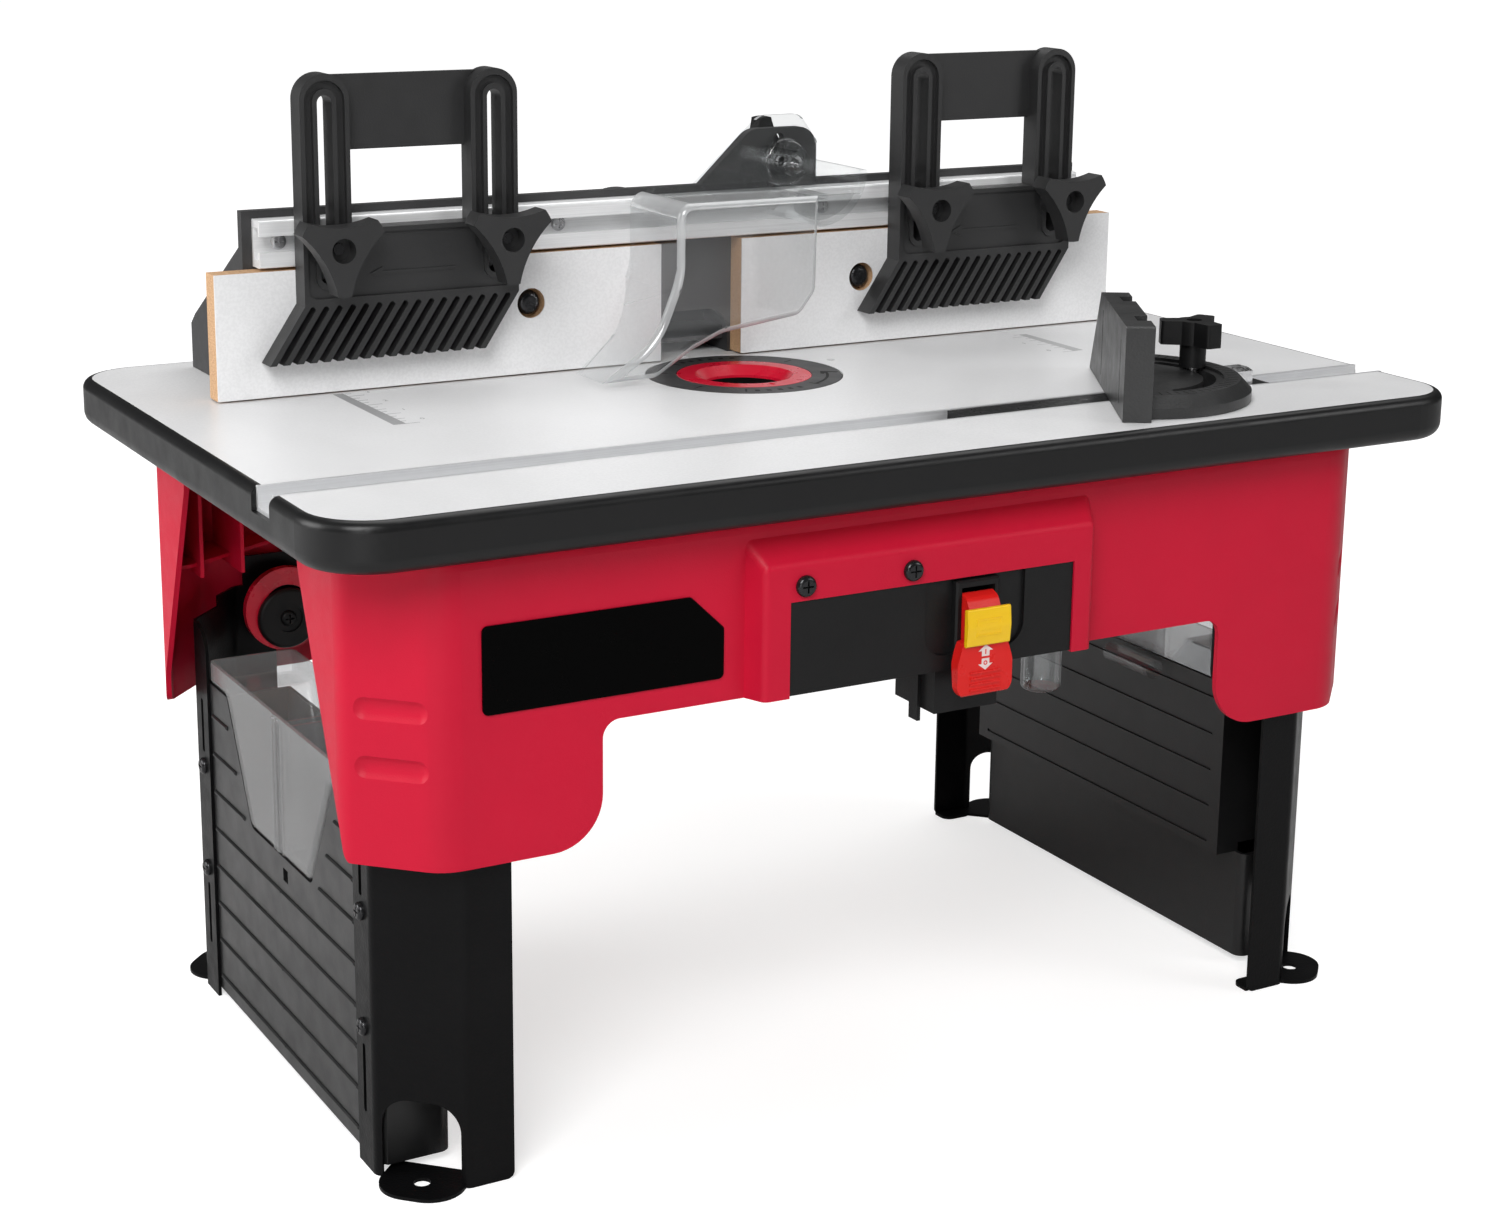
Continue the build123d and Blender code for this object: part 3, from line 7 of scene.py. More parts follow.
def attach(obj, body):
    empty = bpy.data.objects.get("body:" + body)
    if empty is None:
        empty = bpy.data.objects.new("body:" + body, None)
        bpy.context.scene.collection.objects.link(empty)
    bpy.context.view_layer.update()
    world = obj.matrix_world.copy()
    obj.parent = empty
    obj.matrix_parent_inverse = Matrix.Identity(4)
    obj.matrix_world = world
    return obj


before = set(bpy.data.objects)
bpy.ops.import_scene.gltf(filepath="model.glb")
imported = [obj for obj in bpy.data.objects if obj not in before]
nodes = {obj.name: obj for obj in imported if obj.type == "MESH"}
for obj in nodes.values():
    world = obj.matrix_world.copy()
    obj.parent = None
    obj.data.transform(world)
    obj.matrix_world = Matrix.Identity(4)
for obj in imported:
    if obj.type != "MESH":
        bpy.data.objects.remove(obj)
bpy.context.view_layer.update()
MM = 0.001


# ---------------------------------------------------------------- materials
INPUTS = {"specular": "Specular IOR Level", "metallic": "Metallic", "roughness": "Roughness"}


class Graph:
    """A node tree with short ways to add and link nodes."""

    def __init__(self, name):
        self.material = bpy.data.materials.new(name)
        self.material.use_nodes = True
        self.tree = self.material.node_tree
        self.shader = self.tree.nodes["Principled BSDF"]
        self.coords = self.tree.nodes.new("ShaderNodeTexCoord").outputs["Object"]

    def link(self, source, target):
        self.tree.links.new(source, target)

    def set(self, **values):
        """Sets plain shader inputs by their short names, such as specular=0.3."""
        for name, value in values.items():
            self.shader.inputs[INPUTS[name]].default_value = value

    def stretch(self, scale):
        """Object coordinates times a scale for each axis."""
        node = self.tree.nodes.new("ShaderNodeMapping")
        node.inputs["Scale"].default_value = scale
        self.link(self.coords, node.inputs["Vector"])
        return node.outputs["Vector"]

    def noise(self, scale, detail=4.0, rough=0.55, stretch=None):
        node = self.tree.nodes.new("ShaderNodeTexNoise")
        node.inputs["Scale"].default_value = scale
        node.inputs["Detail"].default_value = detail
        node.inputs["Roughness"].default_value = rough
        self.link(self.stretch(stretch) if stretch else self.coords, node.inputs["Vector"])
        return node.outputs["Fac"]

    def cells(self, scale):
        node = self.tree.nodes.new("ShaderNodeTexVoronoi")
        node.inputs["Scale"].default_value = scale
        self.link(self.coords, node.inputs["Vector"])
        return node.outputs["Distance"]

    def span(self, value, low, high, start=0.3, end=0.7):
        """Maps start..end to low..high, clamped."""
        node = self.tree.nodes.new("ShaderNodeMapRange")
        for name, number in (("From Min", start), ("From Max", end), ("To Min", low), ("To Max", high)):
            node.inputs[name].default_value = number
        self.link(value, node.inputs["Value"])
        return node.outputs["Result"]

    def mix(self, factor, first, second):
        """A colour between two, each a plain colour or a socket."""
        node = self.tree.nodes.new("ShaderNodeMix")
        node.data_type = "RGBA"
        sockets = [s for s in node.inputs if s.enabled]
        for socket, value in zip(sockets, (factor, first, second)):
            if hasattr(value, "links"):
                self.link(value, socket)
            else:
                socket.default_value = value if isinstance(value, float) else (*value, 1.0)
        return [s for s in node.outputs if s.enabled][0]

    def height(self, *layers):
        """Bump layers as (value, depth in metres) pairs."""
        normal = None
        for value, depth in layers:
            node = self.tree.nodes.new("ShaderNodeBump")
            node.inputs["Distance"].default_value = depth
            node.inputs["Strength"].default_value = 1.0
            self.link(value, node.inputs["Height"])
            if normal is not None:
                self.link(normal, node.inputs["Normal"])
            normal = node.outputs["Normal"]
        self.link(normal, self.shader.inputs["Normal"])

    def colour(self, socket):
        self.link(socket, self.shader.inputs["Base Color"])

    def rough(self, socket):
        self.link(socket, self.shader.inputs["Roughness"])


def shade(colour, factor):
    """A colour made darker or lighter."""
    return tuple(min(1.0, channel * factor) for channel in colour)


def moulded(name, colour, roughness=0.45, grain=0.00005, scale=1400.0, specular=0.5, variation=0.12):
    """Moulded plastic: fine spark-eroded grain, slow changes of tone and polish."""
    graph = Graph(name)
    slow = graph.noise(9.0, 3.0)
    fine = graph.noise(scale, 2.0)
    dark, light = shade(colour, 1 - variation), shade(colour, 1 + variation)
    graph.colour(graph.mix(graph.span(slow, 0.0, 1.0), dark, light))
    graph.rough(graph.span(graph.noise(60.0, 5.0), roughness - 0.05, roughness + 0.07))
    graph.height((fine, grain), (graph.noise(25.0, 2.0), grain * 2))
    graph.set(specular=specular)
    return graph.material


def powder_coat(name, colour, specular=0.5):
    """Satin powder coat with orange peel."""
    graph = Graph(name)
    slow = graph.span(graph.noise(14.0), 0.0, 1.0)
    graph.colour(graph.mix(slow, shade(colour, 0.8), shade(colour, 1.25)))
    graph.rough(graph.span(graph.noise(90.0), 0.30, 0.42))
    graph.height((graph.cells(700.0), 0.00006), (graph.noise(240.0), 0.00005))
    graph.set(specular=specular)
    return graph.material


def extruded(name, colour, roughness, metallic=1.0):
    """Satin aluminium with fine draw lines along X."""
    graph = Graph(name)
    lines = graph.noise(1.0, 3.0, 0.6, stretch=(6.0, 2600.0, 2600.0))
    graph.colour(graph.mix(graph.span(lines, 0.0, 1.0), shade(colour, 0.88), colour))
    graph.rough(graph.span(lines, roughness - 0.06, roughness + 0.1))
    graph.height((lines, 0.00002))
    graph.set(metallic=metallic)
    return graph.material


def plated(name, colour, roughness=0.3, metallic=1.0):
    """Plated or oxided steel of the fasteners."""
    graph = Graph(name)
    graph.colour(graph.mix(graph.span(graph.noise(180.0), 0.0, 1.0), shade(colour, 0.75), colour))
    graph.rough(graph.span(graph.noise(320.0), roughness - 0.08, roughness + 0.12))
    graph.height((graph.noise(900.0), 0.00003))
    graph.set(metallic=metallic)
    return graph.material


def laminate(name, colour):
    """Matt melamine sheet: faint speckle under a fine pebbled surface."""
    graph = Graph(name)
    speckle = graph.span(graph.noise(700.0, 3.0), 0.0, 1.0, 0.42, 0.6)
    cloudy = graph.span(graph.noise(3.0, 2.0), 0.0, 1.0)
    base = graph.mix(speckle, shade(colour, 0.955), shade(colour, 1.02))
    graph.colour(graph.mix(cloudy, base, colour))
    graph.rough(graph.span(graph.noise(35.0), 0.30, 0.38))
    graph.height((graph.noise(1100.0, 2.0), 0.00003))
    return graph.material


def board_colour(graph):
    """Pressed fibre: tan with darker fibres."""
    fibres = graph.span(graph.noise(500.0, 6.0, 0.7, stretch=(1.0, 1.0, 2.4)), 0.0, 1.0, 0.35, 0.65)
    return graph.mix(fibres, (0.42, 0.24, 0.12), (0.66, 0.42, 0.24))


def fibreboard(name):
    """Bare sawn fibreboard."""
    graph = Graph(name)
    graph.colour(board_colour(graph))
    graph.rough(graph.span(graph.noise(200.0), 0.75, 0.95))
    graph.height((graph.noise(800.0, 5.0), 0.00015))
    return graph.material


def faced_board(name, colour, face_y):
    """Fibreboard with a white laminate on its front face only."""
    graph = Graph(name)
    separate = graph.tree.nodes.new("ShaderNodeSeparateXYZ")
    graph.link(graph.coords, separate.inputs["Vector"])
    start, end = (face_y + depth for depth in FACING_DEPTH)
    behind = graph.span(separate.outputs["Y"], 0.0, 1.0, start, end)
    speckle = graph.span(graph.noise(650.0, 3.0), 0.0, 1.0, 0.4, 0.6)
    white = graph.mix(speckle, shade(colour, 0.96), shade(colour, 1.02))
    graph.colour(graph.mix(behind, white, board_colour(graph)))
    graph.rough(graph.span(behind, 0.35, 0.85, 0.0, 1.0))
    graph.height((graph.noise(900.0, 4.0), 0.00004))
    return graph.material


def clear(name, tint, haze=0.0, body=(0.94, 0.95, 0.96), roughness=0.03):
    """Thin clear moulding: light passes straight through, with a mirror gloss that grows as it slants away.

    The haze is the share of cloudy plastic; on the edge materials it is a painted highlight instead. What
    doesn't pass through is haze and gloss together, and the gloss in it is metallic.
    """
    graph = Graph(name)
    tree = graph.tree
    graph.colour(graph.mix(graph.span(graph.noise(30.0), 0.0, 1.0), shade(body, 0.92), body))
    graph.rough(graph.span(graph.noise(30.0, 5.0), roughness, roughness + 0.06))
    graph.height((graph.noise(45.0, 2.0), 0.0001))
    through = tree.nodes.new("ShaderNodeBsdfTransparent")
    through.inputs["Color"].default_value = (*tint, 1.0)
    slant = tree.nodes.new("ShaderNodeLayerWeight")
    slant.inputs["Blend"].default_value = 0.5
    steep = tree.nodes.new("ShaderNodeMath")
    steep.operation = "POWER"
    graph.link(slant.outputs["Facing"], steep.inputs[0])
    steep.inputs[1].default_value = GLOSS_POWER
    gloss = graph.span(steep.outputs["Value"], *GLOSS_SHARE, 0.0, 1.0)
    share = tree.nodes.new("ShaderNodeMath")
    share.use_clamp = True
    graph.link(graph.span(graph.noise(18.0), haze * 0.85, haze * 1.15), share.inputs[0])
    graph.link(gloss, share.inputs[1])
    mirror = tree.nodes.new("ShaderNodeMath")
    mirror.operation = "DIVIDE"
    graph.link(gloss, mirror.inputs[0])
    graph.link(share.outputs["Value"], mirror.inputs[1])
    graph.link(mirror.outputs["Value"], graph.shader.inputs["Metallic"])
    both = tree.nodes.new("ShaderNodeMixShader")
    graph.link(share.outputs["Value"], both.inputs["Fac"])
    graph.link(through.outputs["BSDF"], both.inputs[1])
    graph.link(graph.shader.outputs["BSDF"], both.inputs[2])
    graph.link(both.outputs["Shader"], tree.nodes["Material Output"].inputs["Surface"])
    return graph.material


BLACK = (0.007, 0.007, 0.0073)
RED = (0.53, 0.005, 0.03)
BOARD_WHITE = (0.76, 0.76, 0.765)
FENCE_FACE_Y = 0.0735
FACING_DEPTH = (0.0007, 0.0008)  # where the white facing ends and the board begins, in metres
GLOSS_SHARE = (0.07, 0.6)  # of clear plastic, seen square on and along its surface
GLOSS_POWER = 4.0
mats = {
    "black_plastic": moulded("black_plastic", BLACK, 0.42, grain=0.00008, scale=1100.0, specular=0.25),
    "side_black": moulded("side_black", (0.008, 0.008, 0.0083), 0.34, 0.00006, 1100.0, specular=0.55),
    "board_black": moulded("board_black", (0.02, 0.02, 0.0205), 0.45, 0.00006, 1100.0, specular=0.5),
    "gloss_black": moulded("gloss_black", (0.0005, 0.0005, 0.0005), 0.3, grain=0.00001, specular=0.04),
    "dark_grey": moulded("dark_grey_plastic", (0.032, 0.032, 0.033), 0.5, grain=0.0001, scale=900.0),
    "black_band": moulded("black_band", BLACK, 0.36, 0.00003, 900.0, specular=0.33),
    "red_plastic": moulded("red_plastic", RED, 0.45, 0.00009, 1300.0, specular=0.22, variation=0.05),
    "switch_red": moulded("switch_red", (0.66, 0.012, 0.01), 0.3, 0.00002, specular=0.3, variation=0.04),
    "yellow_plastic": moulded("yellow_plastic", (0.86, 0.53, 0.005), 0.3, grain=0.00002, variation=0.04),
    "insert_red": moulded("insert_red", (0.62, 0.006, 0.03), 0.28, 0.00003, specular=0.4, variation=0.05),
    "black_steel": powder_coat("black_steel", (0.003, 0.003, 0.0033), 0.13),
    "cast_grey": powder_coat("cast_grey", (0.022, 0.0222, 0.0225), 0.6),
    "aluminium": extruded("aluminium", (0.80, 0.805, 0.815), 0.36, 0.6),
    "bright_aluminium": extruded("bright_aluminium", (0.95, 0.955, 0.96), 0.34, 0.4),
    "zinc_steel": plated("zinc_steel", (0.62, 0.62, 0.63)),
    "black_bar": plated("black_bar", (0.02, 0.02, 0.021), 0.34, 0.5),
    "black_screw": plated("black_screw", (0.03, 0.03, 0.032), 0.2, 0.6),
    "laminate": laminate("laminate", BOARD_WHITE),
    "mdf": fibreboard("mdf"),
    "faced_board": faced_board("faced_board", (0.80, 0.80, 0.805), FENCE_FACE_Y),
    "clear_plastic": clear("clear_plastic", (0.96, 0.965, 0.965)),
    # painted light: the edge materials clear_edge and smoke_edge give cut edges and tight folds a darker
    # see-through tint as painted shade and a pale haze as painted highlight, where the plastic bends the
    # light
    "clear_edge": clear("clear_edge", (0.42, 0.43, 0.43), haze=0.38),
    "smoke_plastic": clear("smoke_plastic", (0.86, 0.865, 0.87), 0.17, (0.52, 0.52, 0.52), roughness=0.12),
    "smoke_edge": clear("smoke_edge", (0.7, 0.7, 0.7), haze=0.7, body=(0.72, 0.72, 0.72), roughness=0.15),
    "print_dark": moulded("print_dark", (0.004, 0.004, 0.004), 0.6, grain=0.00001, specular=0.2),
    "print_grey": moulded("print_grey", (0.33, 0.33, 0.335), 0.5, grain=0.00001),
    "print_faint": moulded("print_faint", (0.5, 0.5, 0.505), 0.5, grain=0.00001),
    "print_pale": moulded("print_pale", (0.80, 0.66, 0.64), 0.5, grain=0.00001),
}


# ---------------------------------------------------------------- CAD nodes
EDGE_MATERIALS = {"clear_plastic": "clear_edge", "smoke_plastic": "smoke_edge"}
SHARP_ANGLE = math.radians(35)


def dress(node, material, bevel=0.4):
    """Gives a CAD node its material, smooth shading by angle and a small rounded edge."""
    piece = nodes[node]
    piece.data.materials.clear()
    piece.data.materials.append(mats[material])
    if material in EDGE_MATERIALS:
        piece.data.materials.append(mats[EDGE_MATERIALS[material]])
    soften(piece, bevel)


def soften(piece, bevel, segments=2):
    """Rounds the sharp edges by the bevel in mm. A clear piece has its edge material on them."""
    for polygon in piece.data.polygons:
        polygon.use_smooth = True
    if not bevel:
        flat = piece.modifiers.new("flat_faces", "EDGE_SPLIT")
        flat.split_angle = SHARP_ANGLE
        return
    edge = piece.modifiers.new("soft_edges", "BEVEL")
    edge.width = bevel * MM
    edge.segments = segments
    edge.limit_method = "ANGLE"
    edge.angle_limit = SHARP_ANGLE
    edge.harden_normals = True
    edge.miter_outer = "MITER_ARC"
    edge.use_clamp_overlap = True
    if len(piece.data.materials) > 1:
        edge.material = 1


looks = {
    "tabletop_core": ("mdf", 0),
    "tabletop_laminate": ("laminate", 0.2),
    "edge_band": ("black_band", 0.3),
    "miter_track": ("aluminium", 0.3),
    "router_plate": ("dark_grey", 0.2),
    "insert_ring": ("insert_red", 0.3),
    "router_bracket": ("black_steel", 0.4),
    "side_panel_left": ("side_black", 0.5),
    "side_panel_right": ("side_black", 0.5),
    "shroud_front": ("red_plastic", 0.8),
    "shroud_rear": ("red_plastic", 0.8),
    "nameplate": ("gloss_black", 0.15),
    "shroud_screws": ("black_screw", 0.15),
    "switch_panel": ("black_plastic", 0.4),
    "switch_housing": ("black_plastic", 0.5),
    "switch_paddle": ("switch_red", 0.6),
    "safety_key": ("yellow_plastic", 0.5),
    "bit_cup": ("clear_plastic", 0.3),
    "leg_screws": ("black_screw", 0.15),
    "top_screws": ("zinc_steel", 0.15),
    "spare_ring": ("insert_red", 0.4),
    "spare_retainer": ("black_plastic", 0.4),
    "bit_tube": ("clear_plastic", 0.3),
    "fence_clamp_bolts": ("zinc_steel", 0.2),
    "bin_left": ("smoke_plastic", 0.5),
    "bin_right": ("smoke_plastic", 0.5),
    "fence_base": ("dark_grey", 0.5),
    "fence_track": ("bright_aluminium", 0.3),
    "fence_screws": ("zinc_steel", 0.15),
    "dust_port": ("dark_grey", 0.6),
    "guard_shield": ("clear_plastic", 1.3),
    "guard_knob": ("clear_plastic", 0.6),
    "miter_bar": ("black_bar", 0.4),
    "miter_head": ("cast_grey", 0.6),
    "miter_fittings": ("zinc_steel", 0.3),
    "miter_knob": ("black_plastic", 0.8),
    "guard_wing": ("black_plastic", 1.0),
}
for corner in ("front_left", "front_right", "rear_left", "rear_right"):
    looks[f"leg_{corner}"] = ("black_steel", 0.4)
for side in ("left", "right"):
    looks[f"fence_face_{side}"] = ("faced_board", 0.3)
    looks[f"face_bolts_{side}"] = ("black_screw", 0.2)
    looks[f"featherboard_{side}"] = ("board_black", 0.5)
    looks[f"track_bolts_{side}"] = ("black_screw", 0.3)
    looks[f"clamp_knob_{side}"] = ("black_plastic", 0.8)
    for place in ("inner", "outer"):
        looks[f"face_knob_{side}_{place}"] = ("black_plastic", 0.8)
    for place in ("a", "b"):
        looks[f"feather_knob_{side}_{place}"] = ("board_black", 0.8)
for node, (material, bevel) in looks.items():
    dress(node, material, bevel)


def mark_folds(node, width):
    """The tight folds of the clear guard carry the edge material, as they bend the light.

    A fold is made of slanted strips that are narrower than the width, in mm.
    """
    mesh = nodes[node].data
    for polygon in mesh.polygons:
        points = [mesh.vertices[index].co for index in polygon.vertices]
        longest = max((a - b).length for a, b in zip(points, points[1:] + points[:1]))
        slanted = max(abs(value) for value in polygon.normal) < SLANT_LIMIT
        if slanted and 2 * polygon.area / longest < width * MM:
            polygon.material_index = 1


def seal_bore(node, radius):
    """The upright cut edge within a radius of the origin, around the router's opening, is coloured black as
    painted shade inside the opening.
    """
    piece = nodes[node]
    piece.data.materials.append(mats["black_plastic"])
    for polygon in piece.data.polygons:
        if polygon.center.xy.length < radius * MM and abs(polygon.normal.z) < UPRIGHT_LIMIT:
            polygon.material_index = 1


SLANT_LIMIT = 0.985  # a face is slanted when no part of its normal reaches this
UPRIGHT_LIMIT = 0.9
mark_folds("guard_shield", 1.25)
# painted shade: the board's cut edge down the router's opening is coloured black
seal_bore("tabletop_core", 110.0)


# ---------------------------------------------------------------- printed and moulded marks
def add_plates(name, outlines, frame_axes, height, body, look):
    """Thin closed plates on a flat face, from outlines in mm in the frame (origin, across, up)."""
    origin, across, up = (Vector(value) for value in frame_axes)
    out = across.cross(up)
    points, faces = [], []
    for outline in outlines:
        start, count = len(points), len(outline)
        for level in (-SINK, height):
            points += [(origin + across * u + up * v + out * level) * MM for u, v in outline]
        faces.append(list(range(start + count - 1, start - 1, -1)))
        faces.append(list(range(start + count, start + 2 * count)))
        for index in range(count):
            after = (index + 1) % count
            faces.append((start + index, start + after, start + count + after, start + count + index))
    mesh = bpy.data.meshes.new(name)
    mesh.from_pydata(points, [], faces)
    mesh.materials.append(mats[look])
    piece = bpy.data.objects.new(name, mesh)
    bpy.context.scene.collection.objects.link(piece)
    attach(piece, body)
    return piece


def add_number(text, size, frame_axes, body, look):
    """A printed number, in mm, centred on the frame's origin."""
    origin, across, up = (Vector(value) for value in frame_axes)
    words = bpy.data.curves.new("number_" + text, "FONT")
    words.body = text
    words.size = size * MM
    words.extrude = 0.03 * MM
    words.align_x = "CENTER"
    words.align_y = "CENTER"
    writer = bpy.data.objects.new("writer", words)
    bpy.context.scene.collection.objects.link(writer)
    bpy.context.view_layer.update()
    mesh = bpy.data.meshes.new_from_object(writer.evaluated_get(bpy.context.evaluated_depsgraph_get()))
    bpy.data.objects.remove(writer)
    mesh.materials.clear()
    mesh.materials.append(mats[look])
    piece = bpy.data.objects.new("number_" + text, mesh)
    bpy.context.scene.collection.objects.link(piece)
    turn = Matrix((across, up, across.cross(up))).transposed().to_4x4()
    piece.matrix_world = Matrix.Translation(origin * MM) @ turn
    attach(piece, body)


def bar(u0, u1, v0, v1):
    """A rectangle."""
    return [(u0, v0), (u1, v0), (u1, v1), (u0, v1)]


def spoke(angle, near, far, width):
    """A short radial stroke."""
    c, s = math.cos(math.radians(angle)), math.sin(math.radians(angle))
    half = width / 2
    return [
        (near * c + half * s, near * s - half * c), (far * c + half * s, far * s - half * c),
        (far * c - half * s, far * s + half * c), (near * c - half * s, near * s + half * c),
    ]


def bow(inner, outer, start, end, steps=16):
    """A band along an arc."""
    angles = [math.radians(start + (end - start) * step / steps) for step in range(steps + 1)]
    near = [(inner * math.cos(a), inner * math.sin(a)) for a in angles]
    far = [(outer * math.cos(a), outer * math.sin(a)) for a in angles]
    return far + near[::-1]


SINK = 0.02  # how deep a mark's back lies in the face under it
TOP_Z = 346.0
SWITCH_X = 18.0
ROUTER_Y = 23.5
BOARD_CENTRES = {"left": -181.0, "right": 185.0}
GAUGE_CENTRE = (158.0, -117.8, 357.7)
TICK_PITCH = 25.4 / 4
RIGHT, BACK, UP = (1, 0, 0), (0, 1, 0), (0, 0, 1)


def add_fence_scales():
    """A tapered grey band with ticks and numbers on each side of the laminate, to set the fence square."""
    for name, edge, away, look in (
        ("scale_left", -224.0, 1, "print_grey"), ("scale_right", 214.0, -1, "print_faint"),
    ):
        low, high = (-14.0, 71.0) if away > 0 else (-2.0, 56.0)
        frame_axes = ((edge, 0, TOP_Z), RIGHT, BACK)
        band = [(0, low), (7.0 * away, low), (5.5 * away, high), (0, high)]
        ticks = []
        for index in range(int((high - low) / TICK_PITCH) + 1):
            reach = (14.5, 9.5, 11.5, 9.5)[index % 4] * away
            v = low + 0.3 + index * TICK_PITCH
            ticks.append(bar(6.0 * away, reach, v - 0.35, v + 0.35))
        outlines = [band] + ticks
        if away < 0:
            outlines = [outline[::-1] for outline in outlines]
        add_plates(name, outlines, frame_axes, 0.03, "table", look)
        for index, v in enumerate(range(int(low) + 8, int(high), 25)):
            place = ((edge + 19.0 * away, v, TOP_Z + 0.02), RIGHT, BACK)
            add_number(str(index), 5.0, place, "table", "print_grey")


def add_plate_marks():
    """Turn arrow and ticks on the black router plate."""
    frame_axes = ((0, ROUTER_Y, TOP_Z), RIGHT, BACK)
    arrow = bow(45.6, 47.2, -62, -18)
    head = [(42.0, -12.0), (50.5, -17.5), (49.0, -19.0), (44.0, -15.5), (40.0, -19.5), (38.8, -18.0)]
    ticks = [spoke(angle, 42.5, 49.5, 1.1) for angle in (28, 118, 152, 208, 242, 298)]
    dash_angles = list(range(68, 109, 8)) + list(range(248, 281, 8))
    dashes = [bow(44.5, 48.0, angle, angle + 3.2, 3) for angle in dash_angles]
    add_plates("plate_marks", [arrow, head] + ticks + dashes, frame_axes, 0.04, "table", "print_dark")


def add_board_arrows():
    """Raised arrow against the feed on each featherboard."""
    arrow = [(-24, 0), (-17, 3.2), (-17, 0.9), (24, 0.9), (24, -0.9), (-17, -0.9), (-17, -3.2)][::-1]
    for side, centre in BOARD_CENTRES.items():
        frame_axes = ((centre, 61.8, 411.0), RIGHT, UP)
        add_plates(f"feed_arrow_{side}", [arrow], frame_axes, 0.5, f"featherboard_{side}", "board_black")


def add_switch_marks():
    """On and off arrows with I and O on the paddle."""
    frame_axes = ((SWITCH_X, -193.45, 238.5), RIGHT, UP)
    tip_up = [(0, 6.6), (-4.4, 3.4), (-2.3, 3.4), (-2.3, 0.6), (2.3, 0.6), (2.3, 3.4), (4.4, 3.4)]
    tip_down = [(u, -v) for u, v in tip_up][::-1]
    add_plates("switch_arrows", [tip_up, tip_down], frame_axes, 0.06, "switch", "print_pale")
    mark_on = bar(-0.35, 0.35, 1.6, 4.2)
    mark_off = [bow(0.6, 1.2, start, start + 180, 8) for start in (0, 180)]
    mark_off = [[(u, v - 2.9) for u, v in outline] for outline in mark_off]
    add_plates("switch_letters", [mark_on] + mark_off, frame_axes, 0.1, "switch", "switch_red")


def add_key_frame():
    """Raised grip frame on the yellow key."""
    frame_axes = ((SWITCH_X, -196.0, 255.0), RIGHT, UP)
    sides = [bar(-7.5, 7.5, v, v + 0.8) for v in (-4.4, 3.6)]
    sides += [bar(u, u + 0.8, -3.6, 3.6) for u in (-7.5, 6.7)]
    ribs = [bar(-5.0, 5.0, v - 0.35, v + 0.35) for v in (-1.6, 0.0, 1.6)]
    add_plates("key_frame", sides + ribs, frame_axes, 0.35, "key", "yellow_plastic")


def add_protractor_ticks():
    """Angle ticks on the rim of the miter gauge."""
    frame_axes = (GAUGE_CENTRE, RIGHT, BACK)
    ticks = []
    for step in range(-16, 17):
        near = 53.0 if step % 3 else 51.6
        ticks.append(spoke(-30 + step * 5, near, 58.5, 0.7))
    add_plates("angle_ticks", ticks, frame_axes, 0.03, "gauge_head", "print_dark")


add_fence_scales()
add_plate_marks()
add_board_arrows()
add_switch_marks()
add_key_frame()
add_protractor_ticks()


# ---------------------------------------------------------------- camera, light and floor
def camera_axes(azimuth, elevation, roll):
    """The camera's right, up and back directions, from angles in degrees."""
    a, e, r = (math.radians(value) for value in (azimuth, elevation, roll))
    back = Vector((math.sin(a) * math.cos(e), -math.cos(a) * math.cos(e), math.sin(e)))
    right = Vector((math.cos(a), math.sin(a), 0.0))
    up = back.cross(right)
    return right * math.cos(r) + up * math.sin(r), up * math.cos(r) - right * math.sin(r), back


def add_camera():
    right, up, back = camera_axes(*CAMERA_ANGLES)
    data = bpy.data.cameras.new("camera")
    camera = bpy.data.objects.new("camera", data)
    bpy.context.scene.collection.objects.link(camera)
    rotation = Matrix((right, up, back)).transposed().to_4x4()
    camera.matrix_world = Matrix.Translation(CAMERA_PLACE) @ rotation
    data.lens = CAMERA_LENS
    data.sensor_width = 36.0
    data.shift_y = CAMERA_SHIFT
    data.clip_start = 0.05
    data.clip_end = 50.0
    bpy.context.scene.camera = camera


def add_area(name, place, target, size, power):
    """A soft box that faces the target."""
    data = bpy.data.lights.new(name, "AREA")
    data.shape = "RECTANGLE"
    data.size, data.size_y = size
    data.energy = power
    lamp = bpy.data.objects.new(name, data)
    bpy.context.scene.collection.objects.link(lamp)
    lamp.location = place
    lamp.rotation_mode = "QUATERNION"
    lamp.rotation_quaternion = (Vector(place) - Vector(target)).to_track_quat("Z", "Y")


def only_for_camera(tree, elsewhere, for_camera):
    """A value that is for_camera where the camera looks straight at it, and elsewhere otherwise."""
    path = tree.nodes.new("ShaderNodeLightPath")
    pick = tree.nodes.new("ShaderNodeMix")
    tree.links.new(path.outputs["Is Camera Ray"], pick.inputs[0])
    for socket, value in ((pick.inputs[2], elsewhere), (pick.inputs[3], for_camera)):
        if isinstance(value, float):
            socket.default_value = value
        else:
            tree.links.new(value, socket)
    return pick.outputs[0]


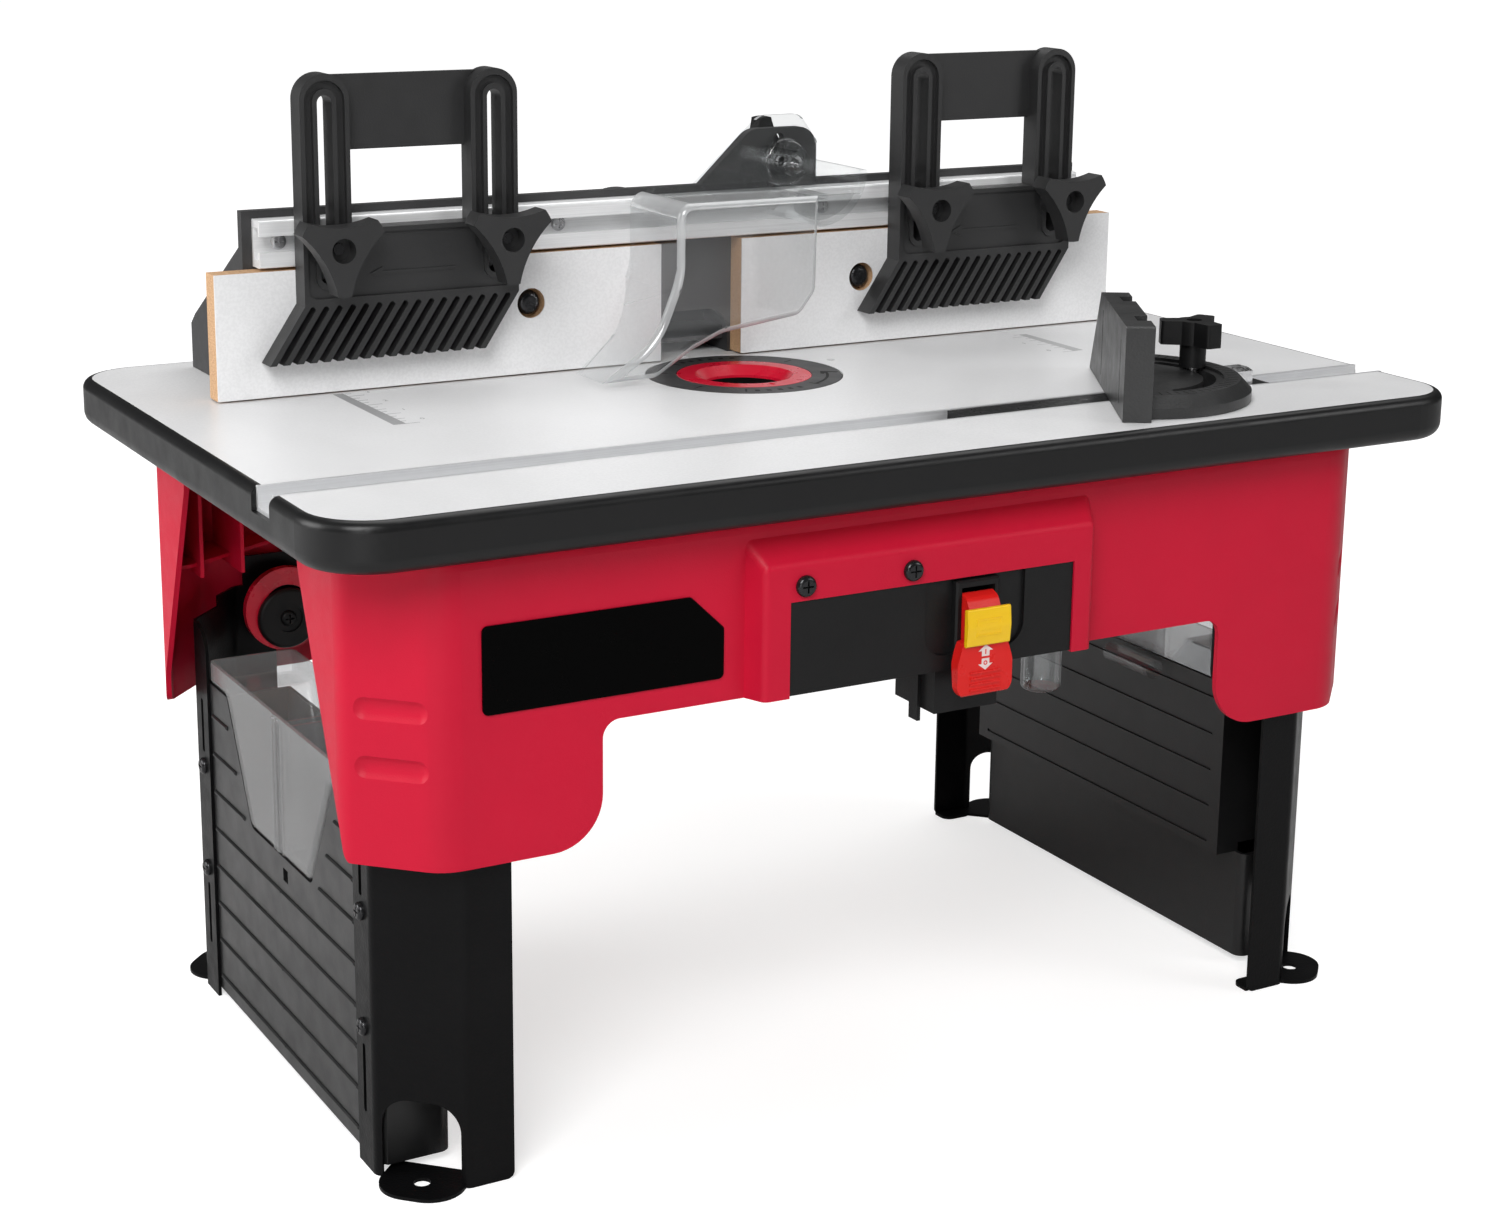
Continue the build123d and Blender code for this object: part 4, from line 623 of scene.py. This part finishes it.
def add_floor():
    """White floor that fades into the white backdrop."""
    half = FLOOR_SIZE / 2
    mesh = bpy.data.meshes.new("floor")
    corners = [(-half, -half, 0), (half, -half, 0), (half, half, 0), (-half, half, 0)]
    mesh.from_pydata(corners, [], [(0, 1, 2, 3)])
    floor = bpy.data.objects.new("floor", mesh)
    bpy.context.scene.collection.objects.link(floor)
    graph = Graph("floor")
    graph.colour(graph.mix(graph.span(graph.noise(2.0), 0.0, 1.0), (0.62, 0.62, 0.62), (0.64, 0.64, 0.64)))
    graph.set(roughness=0.9, specular=0.1)
    graph.shader.inputs["Emission Color"].default_value = (1.0, 1.0, 1.0, 1.0)
    length = graph.tree.nodes.new("ShaderNodeVectorMath")
    length.operation = "LENGTH"
    graph.link(graph.coords, length.inputs[0])
    glow = graph.span(length.outputs["Value"], *FLOOR_GLOW, *GLOW_REACH)
    graph.link(only_for_camera(graph.tree, 0.0, glow), graph.shader.inputs["Emission Strength"])
    mesh.materials.append(graph.material)


def add_world():
    """White studio, darker in front of the object than behind and above it."""
    world = bpy.data.worlds.new("studio")
    bpy.context.scene.world = world
    world.use_nodes = True
    tree = world.node_tree
    coords = tree.nodes.new("ShaderNodeTexCoord")
    separate = tree.nodes.new("ShaderNodeSeparateXYZ")
    tree.links.new(coords.outputs["Generated"], separate.inputs["Vector"])
    total = tree.nodes.new("ShaderNodeMath")
    spans = (("Y", -0.5, 0.7, *WORLD_DEPTH), ("Z", 0.1, 1.0, *WORLD_HEIGHT))
    for index, (axis, start, end, low, high) in enumerate(spans):
        span = tree.nodes.new("ShaderNodeMapRange")
        tree.links.new(separate.outputs[axis], span.inputs["Value"])
        for name, value in (("From Min", start), ("From Max", end), ("To Min", low), ("To Max", high)):
            span.inputs[name].default_value = value
        tree.links.new(span.outputs["Result"], total.inputs[index])
    strength = only_for_camera(tree, total.outputs["Value"], 1.0)
    tree.nodes["Background"].inputs["Color"].default_value = (1.0, 1.0, 1.0, 1.0)
    tree.links.new(strength, tree.nodes["Background"].inputs["Strength"])


CAMERA_ANGLES = (-29.63, 13.88, 0.65)
CAMERA_PLACE = (-0.71794, -1.24696, 0.63432)
CAMERA_LENS = 64.08
CAMERA_SHIFT = -0.0767
FLOOR_SIZE = 24.0
FLOOR_GLOW = (0.60, 1.0)  # near and far from the object
GLOW_REACH = (0.5, 3.5)
WORLD_DEPTH = (0.007, 0.058)  # light from the front and from behind
WORLD_HEIGHT = (0.0, 0.015)  # added from below and from above
LAMPS = {  # place, target, size, power
    "key": ((-1.7, -2.0, 2.3), (0, 0, 0.25), (1.6, 1.6), 84),
    "top": ((0.8, 0.7, 2.6), (0, 0, 0.3), (2.6, 2.0), 38),
    "fill": ((2.2, -2.2, 1.5), (0, 0, 0.2), (1.4, 1.4), 24),
    "side": ((-2.4, 0.9, 1.1), (-0.3, 0.2, 0.15), (1.4, 1.4), 45),
    "low": ((-1.5, -2.0, 0.5), (-0.2, 0, 0.2), (0.9, 0.7), 6),
}
add_camera()
add_floor()
add_world()
for lamp_name, lamp_values in LAMPS.items():
    add_area(lamp_name, *lamp_values)
bpy.context.scene.view_settings.view_transform = "Standard"
